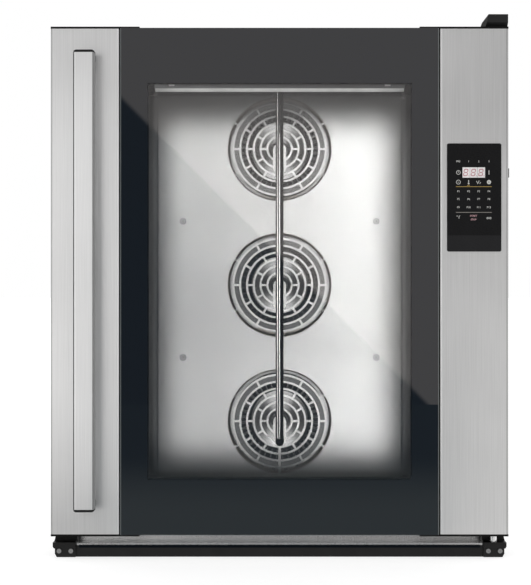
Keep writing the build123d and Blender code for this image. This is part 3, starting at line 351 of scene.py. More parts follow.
def sheet_steel(name, shade, roughness, tint=even(1.0), bands=None):
    """Mill-finished sheet: fine, even speckle and slow clouds, with no direction."""
    finish, tree, shader = new_finish(name, metallic=1.0, roughness=roughness)
    speckle = grain(tree, even(600.0), detail=2.0)
    clouds = grain(tree, even(9.0), detail=3.0)
    dark, light = [0.95 * shade * t for t in tint], [shade * t for t in tint]
    colour = shades(tree, clouds, dark, light)
    finished(tree, shader, colour, bands, speckle, roughness, 0.04, 0.000008)
    return finish


# %% The door's, the body's and the cavity's steel
# Painted highlight and shade: the door profiles' rounded outer edges are darker, and the steel is
# lighter inwards of the left profile's inner edge, as light falls on those roundings.
EDGE_LIGHT_AND_SHADE = ("X", [(-0.41, 0.60), (-0.3976, 1.0), (-0.2832, 1.12), (0.2832, 1.0), (0.3958, 0.68)])
# Painted highlight and shade: the bar's front left edge is lighter and its right side face darker,
# as the light falls on the bar.
BAR_LIGHT_AND_SHADE = ("X", [(-0.36, 1.08), (-0.3492, 1.0), (-0.3213, 0.42)])
# Painted shade: the gutter's front lip is darker than the trough behind it, where it would
# otherwise mirror the bright floor.
GUTTER_LIP_SHADE = ("Y", [(-0.34, 0.46), (-0.3335, 0.86)])
# Painted light and shade: the cavity's rear corners are darker, and its rear wall, seen through the
# grilles, is painted much lighter.
CAVITY_LIGHT_AND_SHADE = ("Y", [(-0.3, 1.0), (0.2, 0.75), (0.27, 2.1)])  # sides, rear corners, rear wall

door_steel = brushed_steel("door_steel", 0.66, "z", bands=EDGE_LIGHT_AND_SHADE)
bar_steel = brushed_steel("bar_steel", 0.69, "z", bands=BAR_LIGHT_AND_SHADE)
body_steel = brushed_steel("body_steel", 0.52, "y", 0.38)
rail_steel = brushed_steel("rail_steel", 0.50, "x", 0.40)
gutter_steel = sheet_steel("gutter_steel", 0.90, 0.28, bands=GUTTER_LIP_SHADE)
cavity_steel = sheet_steel("cavity_steel", 0.38, 0.42, bands=CAVITY_LIGHT_AND_SHADE)
baffle_steel = sheet_steel("baffle_steel", 0.86, 0.42)
print("the body's finish:", body_steel.name)

# %% Smaller steel parts
# Painted shade: the wheel's front ring, blades and flat back disc are darker the deeper they lie,
# and only the dished cone keeps most of its tone.
WHEEL_SHADE = ("Y", [(0.2, 0.36), (0.2076, 0.15), (0.235, 0.9), (0.2612, 0.04)])
# Painted shade: a screw head's rounded rim is darker than its sunk face.
HEAD_RIM_SHADE = ("Y", [(0.19, 0.20), (0.19165, 0.9)])
# Painted highlights and shade: the tube's lines of light and dark lie in its colour.
TUBE_HIGHLIGHTS = ("X", [  # a dark flank, a bright line, a dark line, and greys
    (-0.02, 0.10), (-0.0051, 0.9), (-0.0030, 0.10),
    (-0.0006, 0.42), (0.0019, 0.25), (0.0042, 0.38), (0.0062, 0.25),
])

wheel_steel = sheet_steel("wheel_steel", 0.33, 0.40, bands=WHEEL_SHADE)
screw_steel = sheet_steel("screw_steel", 0.70, 0.35, bands=HEAD_RIM_SHADE)
tube_steel = sheet_steel("tube_steel", 0.84, 0.14, bands=TUBE_HIGHLIGHTS)
bolt_steel = sheet_steel("bolt_steel", 0.26, 0.42)
bright_steel = sheet_steel("bright_steel", 0.78, 0.16)
zinc_steel = sheet_steel("zinc_steel", 0.58, 0.45, (0.95, 0.98, 1.0))
heater_steel = sheet_steel("heater_steel", 0.60, 0.45, (1.0, 0.93, 0.86))
motor_alloy = sheet_steel("motor_alloy", 0.55, 0.5)
copper = sheet_steel("copper", 0.85, 0.3, (1.0, 0.58, 0.40))
bronze = sheet_steel("bronze", 0.68, 0.35, (1.0, 0.72, 0.38))
brass = sheet_steel("brass", 0.80, 0.28, (1.0, 0.82, 0.42))
print("the tube has", len(TUBE_HIGHLIGHTS[1]), "bands, the wheels", len(WHEEL_SHADE[1]))

# %% [markdown]
# ## Black parts, rubber and boards
#
# The brackets and caps are black, but never quite the same black: powder coat has a fine
# orange-peel bump, moulded plastic a closer grain, and silicone a dull bloom.


# %% Coated, moulded and pressed finishes
def coated(name, dark, light, roughness, peel, height, gloss=0.5, bands=None):
    """Clouded colour, with a bump whose bumps are 1/peel metres apart."""
    finish, tree, shader = new_finish(name, roughness=roughness)
    shader.inputs["Specular IOR Level"].default_value = gloss
    skin = grain(tree, even(peel), detail=2.0)
    clouds = grain(tree, even(30.0), detail=2.0)
    colour = shades(tree, clouds, dark, light)
    finished(tree, shader, colour, bands, skin, roughness, 0.06, height)
    return finish


COAT, MOULD, SMOOTH = 0.00003, 0.00002, 0.00001  # how high each skin's bumps are, in metres
ENAMEL, PANEL, WOOL = 0.000001, 0.000003, 0.0006
PANEL_FOOT = ("Z", [(0.53, 1.9), (0.5647, 1.0)])  # the panel's foot is paler

# %% Black parts
black_coat = coated("black_coat", even(0.006), even(0.009), 0.42, 700, COAT, 0.2)
hinge_coat = coated("hinge_coat", even(0.018), even(0.024), 0.60, 700, COAT, 0.03)
black_moulding = coated("black_moulding", even(0.003), even(0.005), 0.45, 1500, MOULD, 0.15)
post_grey = coated("post_grey", even(0.012), even(0.016), 0.50, 1200, MOULD, 0.1)
black_silicone = coated(
    "black_silicone", (0.016, 0.016, 0.017), (0.030, 0.030, 0.031), 0.68, 400, MOULD
)
black_enamel = coated(
    "black_enamel", (0.0012, 0.003, 0.0055), (0.0016, 0.0036, 0.0065), 0.30, 250, ENAMEL, 0.06
)
panel_black = coated(
    "panel_black", (0.0075, 0.0075, 0.0080), (0.0085, 0.0085, 0.0090), 0.30, 900, PANEL, 0.09,
    PANEL_FOOT,
)
print("the coat's bumps are", COAT / mm, "mm high")

# %% Boards, opal plastic and the pane's ground edge
green_board = coated("green_board", (0.010, 0.075, 0.035), (0.018, 0.11, 0.05), 0.4, 300, MOULD)
wool_board = coated("wool_board", (0.30, 0.26, 0.17), (0.46, 0.41, 0.29), 0.95, 220, WOOL)
opal_white = coated("opal_white", (0.80, 0.80, 0.78), (0.86, 0.86, 0.85), 0.35, 500, SMOOTH)
ground_edge = coated("ground_edge", (0.14, 0.15, 0.15), (0.17, 0.18, 0.18), 0.55, 900, SMOOTH, 0.3)
print("wool fibres stand", WOOL / mm, "mm high")

# %% [markdown]
# ## Glass
#
# Toughened glass is clear and smooth. Its two faces each mirror about a twenty-fifth of
# what stands before them. In the window the glass is a true slab with a refractive shader,
# and the reflection comes from what the studio holds. Over the black print nothing shows
# through, so there the same shader turns opaque and takes the mirror of both faces at
# once. That keeps the border clean, for few of its rays are lost in the print.

# %% The window, as a shader sees it
PRINT_LAP = 2.0  # millimetres of clear pane over the print, so the print's own edge shows


def within(tree, axis, middle, half):
    """1 up to half either side of the middle along an axis, and 0 past that; metres."""
    inside = add(tree, "Math", {"operation": "COMPARE"})
    inside.inputs[1].default_value = middle
    inside.inputs[2].default_value = half
    tree.links.new(place_along(tree, axis), inside.inputs[0])
    return inside.outputs["Value"]


def in_window(tree):
    """1 in the window and a little past it, and 0 elsewhere."""
    both = add(tree, "Math", {"operation": "MULTIPLY"})
    half_width = (WINDOW_WIDTH / 2 + PRINT_LAP) * mm
    half_height = (WINDOW_HEIGHT / 2 + PRINT_LAP) * mm
    tree.links.new(within(tree, "X", 0.0, half_width), both.inputs[0])
    tree.links.new(within(tree, "Z", WINDOW_MIDDLE * mm, half_height), both.inputs[1])
    return both.outputs["Value"]


# %% Clear panes
ONE_FACE, BOTH_FACES = 0.5, 0.96  # how strongly a surface mirrors: one face of glass, or two


def clear_glass(name, tint, printed=None):
    """A refractive slab; a very slow bump bends its reflection as real panes do. A printed
    pane is opaque past the window, in the print's colour."""
    finish, tree, shader = new_finish(name, roughness=0.0)
    shader.inputs["IOR"].default_value = 1.5
    waves = grain(tree, even(3.0), detail=0.0)
    raised(tree, shader, waves, 0.00005)
    if printed:
        clear = in_window(tree)
        tree.links.new(clear, shader.inputs["Transmission Weight"])
        mirror = spread(tree, clear, BOTH_FACES, ONE_FACE)
        tree.links.new(mirror, shader.inputs["Specular IOR Level"])
        colour = shades(tree, clear, printed, tint, 0.0, 1.0)
    else:
        shader.inputs["Transmission Weight"].default_value = 1.0
        colour = shades(tree, waves, [0.985 * t for t in tint], tint)
    tree.links.new(colour, shader.inputs["Base Color"])
    return finish


outer_pane = clear_glass("outer_pane", (0.97, 0.98, 0.98), (0.0014, 0.0033, 0.0060))
inner_pane = clear_glass("inner_pane", (0.405, 0.400, 0.394))
print("panes:", outer_pane.name, inner_pane.name)

# %% [markdown]
# ## Things that give light
#
# The strip lamp under the top of the window and the figures of the display give light of
# their own. Each keeps a little unevenness, as a row of diodes behind a cover does.

# %% Lit finishes
SMOOTH_STEP = {"interpolation_type": "SMOOTHSTEP"}


def lit(name, colour, strength, fade=None):
    """Light that rises and falls slowly along X, over a plastic skin. A fade (metres,
    metres, part) lets it sink to that part of its strength from the first |x| to the second."""
    finish, tree, shader = new_finish(name, roughness=0.4, colour=colour)
    spots = grain(tree, (40.0, 1.0, 1.0), detail=1.0)
    glow = shades(tree, spots, [0.85 * c for c in colour], colour)
    tree.links.new(glow, shader.inputs["Base Color"])
    tree.links.new(glow, shader.inputs["Emission Color"])
    shader.inputs["Emission Strength"].default_value = strength
    if fade:
        first, last, part = fade
        distance = add(tree, "Math", {"operation": "ABSOLUTE"})
        sink = add(tree, "MapRange", SMOOTH_STEP, From_Min=first, From_Max=last)
        sink.inputs["To Min"].default_value = strength
        sink.inputs["To Max"].default_value = strength * part
        tree.links.new(place_along(tree, "X"), distance.inputs[0])
        tree.links.new(distance.outputs["Value"], sink.inputs["Value"])
        tree.links.new(sink.outputs["Result"], shader.inputs["Emission Strength"])
    return finish


LAMP_STRENGTH = 0.31
lamp_light = lit("lamp_light", (0.80, 0.79, 0.77), LAMP_STRENGTH, fade=(0.165, 0.222, 0.25))
print("lamp strength:", LAMP_STRENGTH)

# %% [markdown]
# ## Dress the solids
#
# Most solids are right as they are and only need their finish. The names on the left are
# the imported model's own: first its material slots, then the few solids whose finish
# differs from that of their slot.

# %% Give every solid its finish
SLOT_FINISHES = dict(
    black_steel=black_coat,
    body_steel=body_steel,
    galvanised_steel=zinc_steel,
    mineral_wool=wool_board,
    cavity_steel=cavity_steel,
    black_rubber=black_silicone,
    baffle_steel=baffle_steel,
    bright_steel=bright_steel,
    heater_sheath=heater_steel,
    cast_aluminium=motor_alloy,
    black_plastic=black_moulding,
    copper=copper,
    brass_fitting=brass,
    circuit_board=green_board,
    door_steel=door_steel,
    rail_steel=rail_steel,
    outer_glass=outer_pane,
    inner_glass=inner_pane,
    black_print=black_enamel,
    lamp_white=opal_white,
    panel_black=panel_black,
    display_dark=panel_black,
    bronze=bronze,
    wheel_steel=wheel_steel,
)
OWN_FINISHES = dict(
    drip_gutter=gutter_steel,
    lamp_diffuser=lamp_light,
    handle_bar=bar_steel,
    humidity_tube=tube_steel,
    top_hinge_bracket=hinge_coat,
    lamp_housing=bolt_steel,
    bracket_screws=bolt_steel,
)
OWN_FINISHES.update({f"fan_shaft_{level}": bolt_steel for level in ("bottom", "middle", "top")})
for part in frame["record"]["subparts"]:
    name, slot = part["node"], part["material_slot"]
    nodes[name].data.materials.clear()
    nodes[name].data.materials.append(OWN_FINISHES.get(name, SLOT_FINISHES[slot]))

# %% [markdown]
# ## Printing on the touch panel
#
# The panel is a black sheet with its figures printed on it: a row of settings, a lit
# display, twelve programme numbers and the start key. Letters are Blender text turned into
# mesh, a few hundredths of a millimetre thick, so that they stay sharp at any size. Rings,
# bars and the display's strokes are outlines carried over the same small thickness.

# %% Letters as shapes
INK = 0.05  # thickness of the print, in millimetres
CAPITAL = 0.7  # height of a capital, as a part of the text's size
BOLDNESS = 0.012  # how far an outline is moved out, as a part of the letter's height


def lettering(words, height):
    """Filled outlines of the words, with a thickness, their middle at the origin."""
    curve = bpy.data.curves.new("letters", "FONT")
    curve.body = words
    curve.size = height / CAPITAL
    curve.offset = BOLDNESS * height
    curve.extrude = INK / 2
    curve.resolution_u = 3
    letters = bpy.data.objects.new("letters", curve)
    mesh = bpy.data.meshes.new_from_object(letters)
    points = np.empty(3 * len(mesh.vertices), np.float32)
    mesh.vertices.foreach_get("co", points)
    points = points.reshape(-1, 3).astype(float)
    faces = [list(face.vertices) for face in mesh.polygons]
    bpy.data.objects.remove(letters)
    bpy.data.meshes.remove(mesh)
    points[:, :2] -= (points[:, :2].min(axis=0) + points[:, :2].max(axis=0)) / 2
    return points, faces


# %% Rings, bars and strokes
def ring(outside, inside, segments=32):
    """A flat ring: the profile goes once round its section, so it closes on itself."""
    half = INK / 2
    section = [(inside, -half), (outside, -half), (outside, half), (inside, half), (inside, -half)]
    return turned(section, segments)


def stroke(outline):
    """A flat piece with the given outline."""
    return straight(np.array(outline, float), -INK / 2, INK / 2)


def bar(width, height):
    """A flat rectangle about the origin, with corners a fifth of its width round."""
    return stroke(soft_rectangle(width, height, min(width, height) * 0.2, 3))


def moved(shape, across, up, turn=0.0):
    """The shape turned about its own middle, then moved within its plane."""
    points, faces = shape
    cosine, sine = math.cos(math.radians(turn)), math.sin(math.radians(turn))
    spin = np.array([[cosine, sine, 0], [-sine, cosine, 0], [0, 0, 1]])
    return points @ spin + np.array([across, up, 0.0]), faces


# %% Where the figures stand on the panel, in the oven's x and z
PANEL_FACE = -357.3
PRINT_SHIFT = (-0.8, 0.7)  # the whole print against the panel, as the photograph shows it
PANEL_MIDDLE = 340.0
COLUMNS = (313.1, 331.0, 348.6, 366.5)
SETTING_ROW, DISPLAY_ROW, GOLD_ROW, ICON_ROW = 693.3, 673.9, 649.1, 657.1
PROGRAMME_ROWS, GREY_ROW, START_ROW = (641.0, 627.4, 613.1), 604.2, 597.8


def on_panel(shapes, above=0.0):
    """Shapes drawn in the panel's plane, laid on its face; x and y are the oven's x and z."""
    across, up = PRINT_SHIFT
    return laid(joined(shapes), (across, PANEL_FACE - above - INK / 2, up), FORWARD)


print("columns of keys at", COLUMNS)

# %% The white figures
first, second, third, last = COLUMNS
settings = [moved(lettering("PRE", 3.2), first, SETTING_ROW)]
settings += [moved(lettering(str(n), 3.2), COLUMNS[n], SETTING_ROW) for n in (1, 2, 3)]
programmes = [
    moved(lettering(f"P{4 * row + column + 1}", 3.3), COLUMNS[column], height)
    for row, height in enumerate(PROGRAMME_ROWS)
    for column in range(4)
]
clock = [moved(ring(3.8, 2.9), first, DISPLAY_ROW), moved(bar(0.8, 2.6), first, DISPLAY_ROW + 0.7)]
level_bar = [moved(bar(1.3, 7.2), last, DISPLAY_ROW)]
steam_ring = [moved(ring(4.0, 3.1), first, ICON_ROW), moved(bar(2.4, 0.8), first, ICON_ROW)]
thermometer = [moved(bar(1.3, 5.4), second, ICON_ROW + 0.9)]
thermometer += [moved(ring(1.5, 0.2, 20), second, ICON_ROW - 2.5)]
blades = [moved(bar(1.2, 6.6), third - 0.6, ICON_ROW - 0.3, -28)]
blades += [moved(bar(1.1, 3.6), third - 3.4, ICON_ROW + 0.5, 30)]
blades += [moved(bar(1.1, 3.4), third + 2.6, ICON_ROW - 1.5, -28)]
fan_ring = [moved(ring(3.7, 0.9), last, ICON_ROW)]
lamp_key = [moved(bar(3.0, 0.9), first - 1.8, START_ROW)]
lamp_key += [moved(bar(3.0, 0.9), first + 2.0, START_ROW, 50)]
lamp_key += [moved(bar(0.9, 3.2), first + 1.0, START_ROW - 3.0)]
rings = [moved(ring(1.9, 1.0, 20), last + side, START_ROW - 3.6) for side in (-2.3, 2.3)]
white_print = settings + programmes + clock + level_bar + steam_ring + thermometer
white_print += blades + fan_ring + lamp_key + rings
print("white figures:", len(white_print))

# %% Start key and lines
LINE = bar(62.5, 0.8)
START_X = 339.7
red_print = [moved(lettering("START", 2.9), START_X, START_ROW + 0.4)]
red_print += [moved(lettering("STOP", 2.9), START_X, START_ROW - 6.0)]
gold_print = [moved(LINE, PANEL_MIDDLE, GOLD_ROW)]
arrow = ((329.7, 35), (331.9, -35))
gold_print += [moved(bar(2.8, 0.8), x, GOLD_ROW + 2.3, turn) for x, turn in arrow]
grey_print = [moved(LINE, PANEL_MIDDLE, GREY_ROW)]
print("red, gold and grey pieces:", len(red_print), len(gold_print), len(grey_print))


# %% The display's figures
def segment_digit(wide, high, thick, lean):
    """Seven strokes; a point that is y above the middle is pushed right by y tan(lean)."""
    half_w, half_h, tip = wide / 2, high / 2, thick / 2
    reach, rise = half_w - 0.55 * thick, half_h / 2 - 0.45 * thick
    flat = [(-reach, 0), (tip - reach, tip), (reach - tip, tip)]
    flat += [(reach, 0), (reach - tip, -tip), (tip - reach, -tip)]
    tall = [(0, -rise), (tip, tip - rise), (tip, rise - tip)]
    tall += [(0, rise), (-tip, rise - tip), (-tip, tip - rise)]
    strokes = [moved(stroke(flat), 0, up) for up in (tip - half_h, 0, half_h - tip)]
    for side in (tip - half_w, half_w - tip):
        strokes += [moved(stroke(tall), side, up) for up in (-half_h / 2, half_h / 2)]
    points, faces = joined(strokes)
    points[:, 0] += points[:, 1] * math.tan(math.radians(lean))
    return points, faces


DISPLAY_Z = DISPLAY_ROW - 0.05
DIGIT_PITCH = 13.25
digit_places = [PANEL_MIDDLE + step * DIGIT_PITCH for step in (-1, 0, 1)]
tile = stroke(soft_rectangle(12.9, 18.0, 0.2, 2))
display_ground = [moved(tile, x, DISPLAY_Z) for x in digit_places]
digits = [moved(segment_digit(8.0, 12.8, 1.6, 9), x - 0.8, DISPLAY_Z) for x in digit_places]
digits += [moved(ring(0.8, 0.15, 16), x + 4.6, DISPLAY_Z - 6.0) for x in digit_places]
print("digits and points:", len(digits))

# %% Lay the print on the panel
# Each ink also glows a little, by the strength in its last column: painted light, for printed ink
# is no lamp.
INKS = {
    "white": (white_print, (0.46, 0.46, 0.44), 0.06),
    "red": (red_print, (0.56, 0.34, 0.36), 0.10),
    "gold": (gold_print, (0.36, 0.24, 0.05), 0.08),
    "grey": (grey_print, (0.26, 0.24, 0.22), 0.06),
}
for name, (shapes, colour, strength) in INKS.items():
    ink = lit(name + "_ink", colour, strength)
    make_piece(name + "_print", on_panel(shapes), "door", ink)
display_white = lit("display_white", (0.66, 0.64, 0.64), 0.10)
digit_red = lit("digit_red", (0.40, 0.18, 0.20), 0.14)
make_piece("display_ground", on_panel(display_ground), "door", display_white)
make_piece("display_digits", on_panel(digits, INK), "door", digit_red)

# %% [markdown]
# ## Seals
#
# A silicone seal runs round the mouth of the cavity: a flat foot and a hollow bulb that the
# door presses. Its section is a closed outline, and each of its points is carried round a
# rounded rectangle. The outer pane lies in a bead of black sealant against each steel
# panel; that joint is the dark line down both sides of the glass.


# %% Seal round the mouth
def band_between(outlines, stations):
    """Outlines one after the other, each at its station, the last joined to the first."""
    lift = np.repeat(stations, len(outlines[0]))[:, None]
    faces = grid_faces(len(outlines), len(outlines[0]), round_rows=True, round_columns=True)
    return np.concatenate([np.concatenate(outlines), lift], axis=1), faces


def framed(width, height, corner, profile, steps=10):
    """Profile point (u, v) follows the rounded rectangle grown by u all round, at height v."""
    rims = [soft_rectangle(width + 2 * u, height + 2 * u, corner + u, steps) for u, _ in profile]
    return band_between(rims, [v for _, v in profile])


MOUTH_FACE = -278.5
bulb_turn = np.radians(np.linspace(215, -35, 15))
bulb = np.column_stack([3.2 * np.cos(bulb_turn), 4.6 + 3.1 * np.sin(bulb_turn)])
foot_left = [(-6.4, 0.0), (-6.4, 2.0), (-5.6, 2.8)]
foot_right = [(5.6, 2.8), (6.4, 2.0), (6.4, 0.0)]
seal_section = np.concatenate([foot_left, bulb, foot_right])
seal = laid(framed(680.0, 828.0, 28.0, seal_section), (0, MOUTH_FACE, MIDDLE), FORWARD)
mouth_seal = make_piece("mouth_seal", seal, "oven", black_silicone)
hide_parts("door_gasket")

# %% Print on the back of the outer pane
PANE_MIDDLE = 484.25
PRINT_FRONT, PRINT_BACK = 350.45, 350.12  # how far forward; the pane's back is at 350.5
sheet_outline = soft_rectangle(555.0, 886.3, 0.2)
window_outline = soft_rectangle(WINDOW_WIDTH, WINDOW_HEIGHT, 4.0)
window_outline = window_outline + np.array([0.0, WINDOW_MIDDLE - PANE_MIDDLE])
print_sheet = band_between(
    [sheet_outline, window_outline, window_outline, sheet_outline],
    [PRINT_FRONT, PRINT_FRONT, PRINT_BACK, PRINT_BACK],
)
print_sheet = laid(print_sheet, (0, 0, PANE_MIDDLE), FORWARD)
pane_print = make_piece("pane_print", print_sheet, "door", black_enamel)
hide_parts("window_border")

# %% Joint beads beside the glass
PANE_FOOT, PANE_TOP = 41.3, 927.2
JOINT_X = -279.0
bead_outline = np.array([
    (-1.4, -350.6), (1.4, -350.6), (1.4, -354.6), (0.4, -355.4), (-0.6, -355.4), (-1.4, -354.8),
]) + np.array([JOINT_X, 0.0])
beads = both_sides(straight(bead_outline, PANE_FOOT, PANE_TOP))
make_piece("glass_joints", beads, "door", black_moulding)

# %% A black strip between the gutter and the front rail: painted shadow under the gutter's lip
STRIP_FRONT, STRIP_BACK = 336.3, 336.0
strip = straight(soft_rectangle(706.0, 4.6, 0.3, 2), STRIP_BACK, STRIP_FRONT)
strip = laid(strip, (0, 0, 18.4), FORWARD)
make_piece("gutter_shadow_strip", strip, "oven", black_enamel)

# %% Ground edges of the pane, which catch a little light
arris_outline = np.array([(-278.2, -356.5), (-278.0, -356.62), (-277.4, -356.62), (-277.2, -356.5)])
arrises = both_sides(straight(arris_outline, PANE_FOOT, PANE_TOP))
make_piece("glass_arrises", arrises, "door", ground_edge)

# %% [markdown]
# ## The catch's spring
#
# A round wire wound as a screw line, between the catch's plunger and the end of its
# housing. It is drawn at one length; nothing here shortens it when the plunger is pushed in.


# %% A wound spring
def coil(length, radius, wire, turns, around=10, each_turn=28):
    """Axis along x. At turn t the wire's middle is radius from the axis; round the wire, the
    distance changes by its cosine and x by its sine."""
    along = np.linspace(0, 1, int(turns * each_turn) + 1)[:, None]
    v = np.linspace(0, 2 * math.pi, around, endpoint=False)
    reach = radius + wire / 2 * np.cos(v) + 0 * along
    turn = 2 * math.pi * turns * along
    x = wire / 2 + (length - wire) * along + wire / 2 * np.sin(v)
    points = np.stack([x, reach * np.cos(turn), reach * np.sin(turn)], axis=-1).reshape(-1, 3)
    faces = grid_faces(len(along), around, round_columns=True)
    last_ring = (len(along) - 1) * around
    faces.append(list(range(around))[::-1])
    faces.append([last_ring + j for j in range(around)])
    return points, faces


spring_coil = coil(length=16.0, radius=3.85, wire=1.2, turns=6.5)
spring_coil = laid(spring_coil, (-335.0, -296.0, MIDDLE))
spring = make_piece("wound_spring", spring_coil, "door", bright_steel)
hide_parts("catch_spring")
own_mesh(spring)

# %% [markdown]
# ## Fasteners
#
# The outer panels are screwed on. A pan head is a low dome with a round recess in its
# middle, turned about its axis; one profile serves all of them.


# %% Pan heads
def pan_head(radius, high, recess):
    """Dome from the rim to the recess's edge, then down into the recess and to the axis."""
    turn = np.linspace(0, math.pi / 2, 6)[:-1]
    width = radius - recess
    dome = np.column_stack([radius - width * (1 - np.cos(turn)), high * np.sin(turn)])
    inner = [(recess, high), (0.9 * recess, 0.45 * high), (0.0, 0.4 * high)]
    return turned(np.concatenate([[(radius, 0.0)], dome[1:], inner]), 16)


def crossed(some, others):
    """Every pair of one place from each list."""
    return [(a, b) for a in some for b in others]


# %% Screws round the edges of the outer panels
BACK_FACE, SIDE_FACE, ROOF_FACE = 398.5, 398.0, 922.0
back_places = crossed((-388.0, 388.0), np.linspace(60, 890, 6))
back_places += crossed(np.linspace(-270, 270, 4), (32.0, 911.0))
side_places = crossed((-262.0, 388.0), np.linspace(60, 890, 5))
side_places += crossed(np.linspace(-100, 230, 3), (33.0, 910.0))
roof_places = crossed((-386.0, 386.0), np.linspace(-150, 380, 4))
roof_places += crossed(np.linspace(-230, 60, 3), (-266.0, 386.0))
head = pan_head(radius=4.0, high=1.5, recess=1.4)
screws = [laid(head, (x, BACK_FACE, z), BACKWARD) for x, z in back_places]
screws += [laid(head, (SIDE_FACE, y, z), RIGHTWARD) for y, z in side_places]
screws += [laid(head, (-SIDE_FACE, y, z), LEFTWARD) for y, z in side_places]
screws += [laid(head, (x, y, ROOF_FACE)) for x, y in roof_places]
make_piece("panel_screws", joined(screws), "oven", zinc_steel)

# %% Screws that hold the baffle: a round rim, a sunk face and a stud
BAFFLE_FACE = 193.5
rim_turn = np.linspace(0, math.pi, 9)
rim = np.column_stack([5.8 + 0.9 * np.cos(rim_turn), 2.0 + 0.9 * np.sin(rim_turn)])
stud = [(4.9, 1.4), (2.5, 1.3), (2.3, 2.3), (1.6, 2.8), (0.0, 2.9)]
big_head = turned(np.concatenate([[(6.7, 0.0)], rim, stud]), 28)
big_places = crossed((-199.6, 199.6), (328.5, 609.5))
big_heads = joined([laid(big_head, (x, BAFFLE_FACE, z), FORWARD) for x, z in big_places])
baffle_heads = make_piece("baffle_heads", big_heads, "oven", screw_steel, 25.0)
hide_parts("baffle_screws")

# %% Bright folded rims down both sides of the baffle
rim_outline = np.array([
    (-252.5, 194.6), (-252.3, 193.1), (-251.9, 192.9), (-248.6, 193.1),
    (-248.6, 193.4), (-250.6, 193.7), (-252.0, 194.9),
])
rims = both_sides(straight(rim_outline, 83.0, 873.0))
make_piece("baffle_rims", rims, "oven", baffle_steel)

# %% Screws that hold the inner pane
small_head = pan_head(radius=2.6, high=1.5, recess=0.9)
pane_heads = joined([laid(small_head, (x, -291.5, 813.0), FORWARD) for x in (-220.0, 220.0)])
make_piece("pane_screws", pane_heads, "door", bolt_steel)

# %% [markdown]
# ## The handle's feet
#
# The bar stands off the door on two black feet at its very ends. A foot is wide at the
# door and at the bar, and a little waisted between them. A dark film along the bar's front
# left edge is painted shade, standing in for the dark reflection where that edge turns away
# from the light.

# %% Waisted feet, and painted shade on the bar's edge
BAR_X, BAR_FOOT, BAR_TOP = -336.0, 92.6, 877.4
BAR_CORNER = np.array([-350.5, -411.5])  # middle of the front left edge's rounding
STAND_OFF = 28.0


def foot(wide, high, waist, steps=9):
    """At part t of the way from door to bar, both widths shrink by waist sin(pi t)."""
    part = np.linspace(0, 1, steps)
    shrink = waist * np.sin(math.pi * part)
    outlines = [soft_rectangle(wide - less, high - less, 3.0) for less in shrink]
    return carried(outlines, STAND_OFF * part)


def edge_trim(start, end, outside, inside, steps=12):
    """A thin dark film between two radii round the bar's edge, over turns from start to end. It is
    painted shade.
    """
    turn = np.radians(np.linspace(start, end, steps))
    arc = np.stack([np.cos(turn), np.sin(turn)], axis=-1)
    outline = BAR_CORNER + np.concatenate([outside * arc, inside * arc[::-1]])
    return straight(outline, BAR_FOOT, BAR_TOP)


# The film is painted shade: a dark sheet where the bar's edge only mirrors dark surroundings.
bar_edge_shade = edge_trim(start=155, end=233, outside=3.5, inside=2.9)
make_piece("bar_edge_shade", bar_edge_shade, "door", hinge_coat)
one_foot = foot(wide=29.5, high=14.5, waist=1.0)
feet = joined([laid(one_foot, (BAR_X, DOOR_FACE, height), FORWARD) for height in (97.4, 872.6)])
handle_feet = make_piece("handle_feet", feet, "door", post_grey)
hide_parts("handle_posts")

# %% [markdown]
# ## The studio
#
# The photograph is a cut-out on white. A white world stands for the cove, and a pale floor
# that glows a little keeps the ground as light as the wall. What the steel and the glass
# show is what stands before them, so the studio is mostly cards: a light one on the left,
# a grey one on the right, and between them a board, light above and dark below a slanting
# edge, which the glass shows as the slanting line across the door. The camera doesn't see
# the cards.

# %% White world and pale floor
world = bpy.data.worlds.new("white_cove")
world.use_nodes = True
sky = world.node_tree.nodes["Background"]
sky.inputs["Color"].default_value = (1, 1, 1, 1)
sky.inputs["Strength"].default_value = 1.0
scene.world = world
scene.view_settings.view_transform = "Standard"

floor_finish, floor_tree, floor_shader = new_finish("pale_floor", roughness=0.9)
floor_clouds = grain(floor_tree, even(2.0), detail=3.0)
floor_grey = shades(floor_tree, floor_clouds, even(0.38), even(0.40))
floor_tree.links.new(floor_grey, floor_shader.inputs["Base Color"])
floor_shader.inputs["Emission Color"].default_value = (1, 1, 1, 1)
floor_shader.inputs["Emission Strength"].default_value = 0.71
floor_finish.cycles.emission_sampling = "NONE"  # rays find the floor; lamps get the samples


def stage_sheet(name, corners, finish):
    """A flat sheet through four corners, given in metres."""
    mesh = bpy.data.meshes.new(name)
    mesh.from_pydata([list(corner) for corner in corners], [], [[0, 1, 2, 3]])
    mesh.materials.append(finish)
    sheet = bpy.data.objects.new(name, mesh)
    scene.collection.objects.link(sheet)
    return sheet


REACH = 60.0
floor_corners = [(-REACH, -REACH, 0), (REACH, -REACH, 0), (REACH, REACH, 0), (-REACH, REACH, 0)]
stage_sheet("studio_floor", floor_corners, floor_finish)
print("floor reaches", REACH, "m each way")

# %% [markdown]
# ## Cards
#
# A card is a sheet that gives light. Its light goes from one colour to another along a
# direction, over a stated stretch: sharp for the board's slanting edge, slow for the wings.


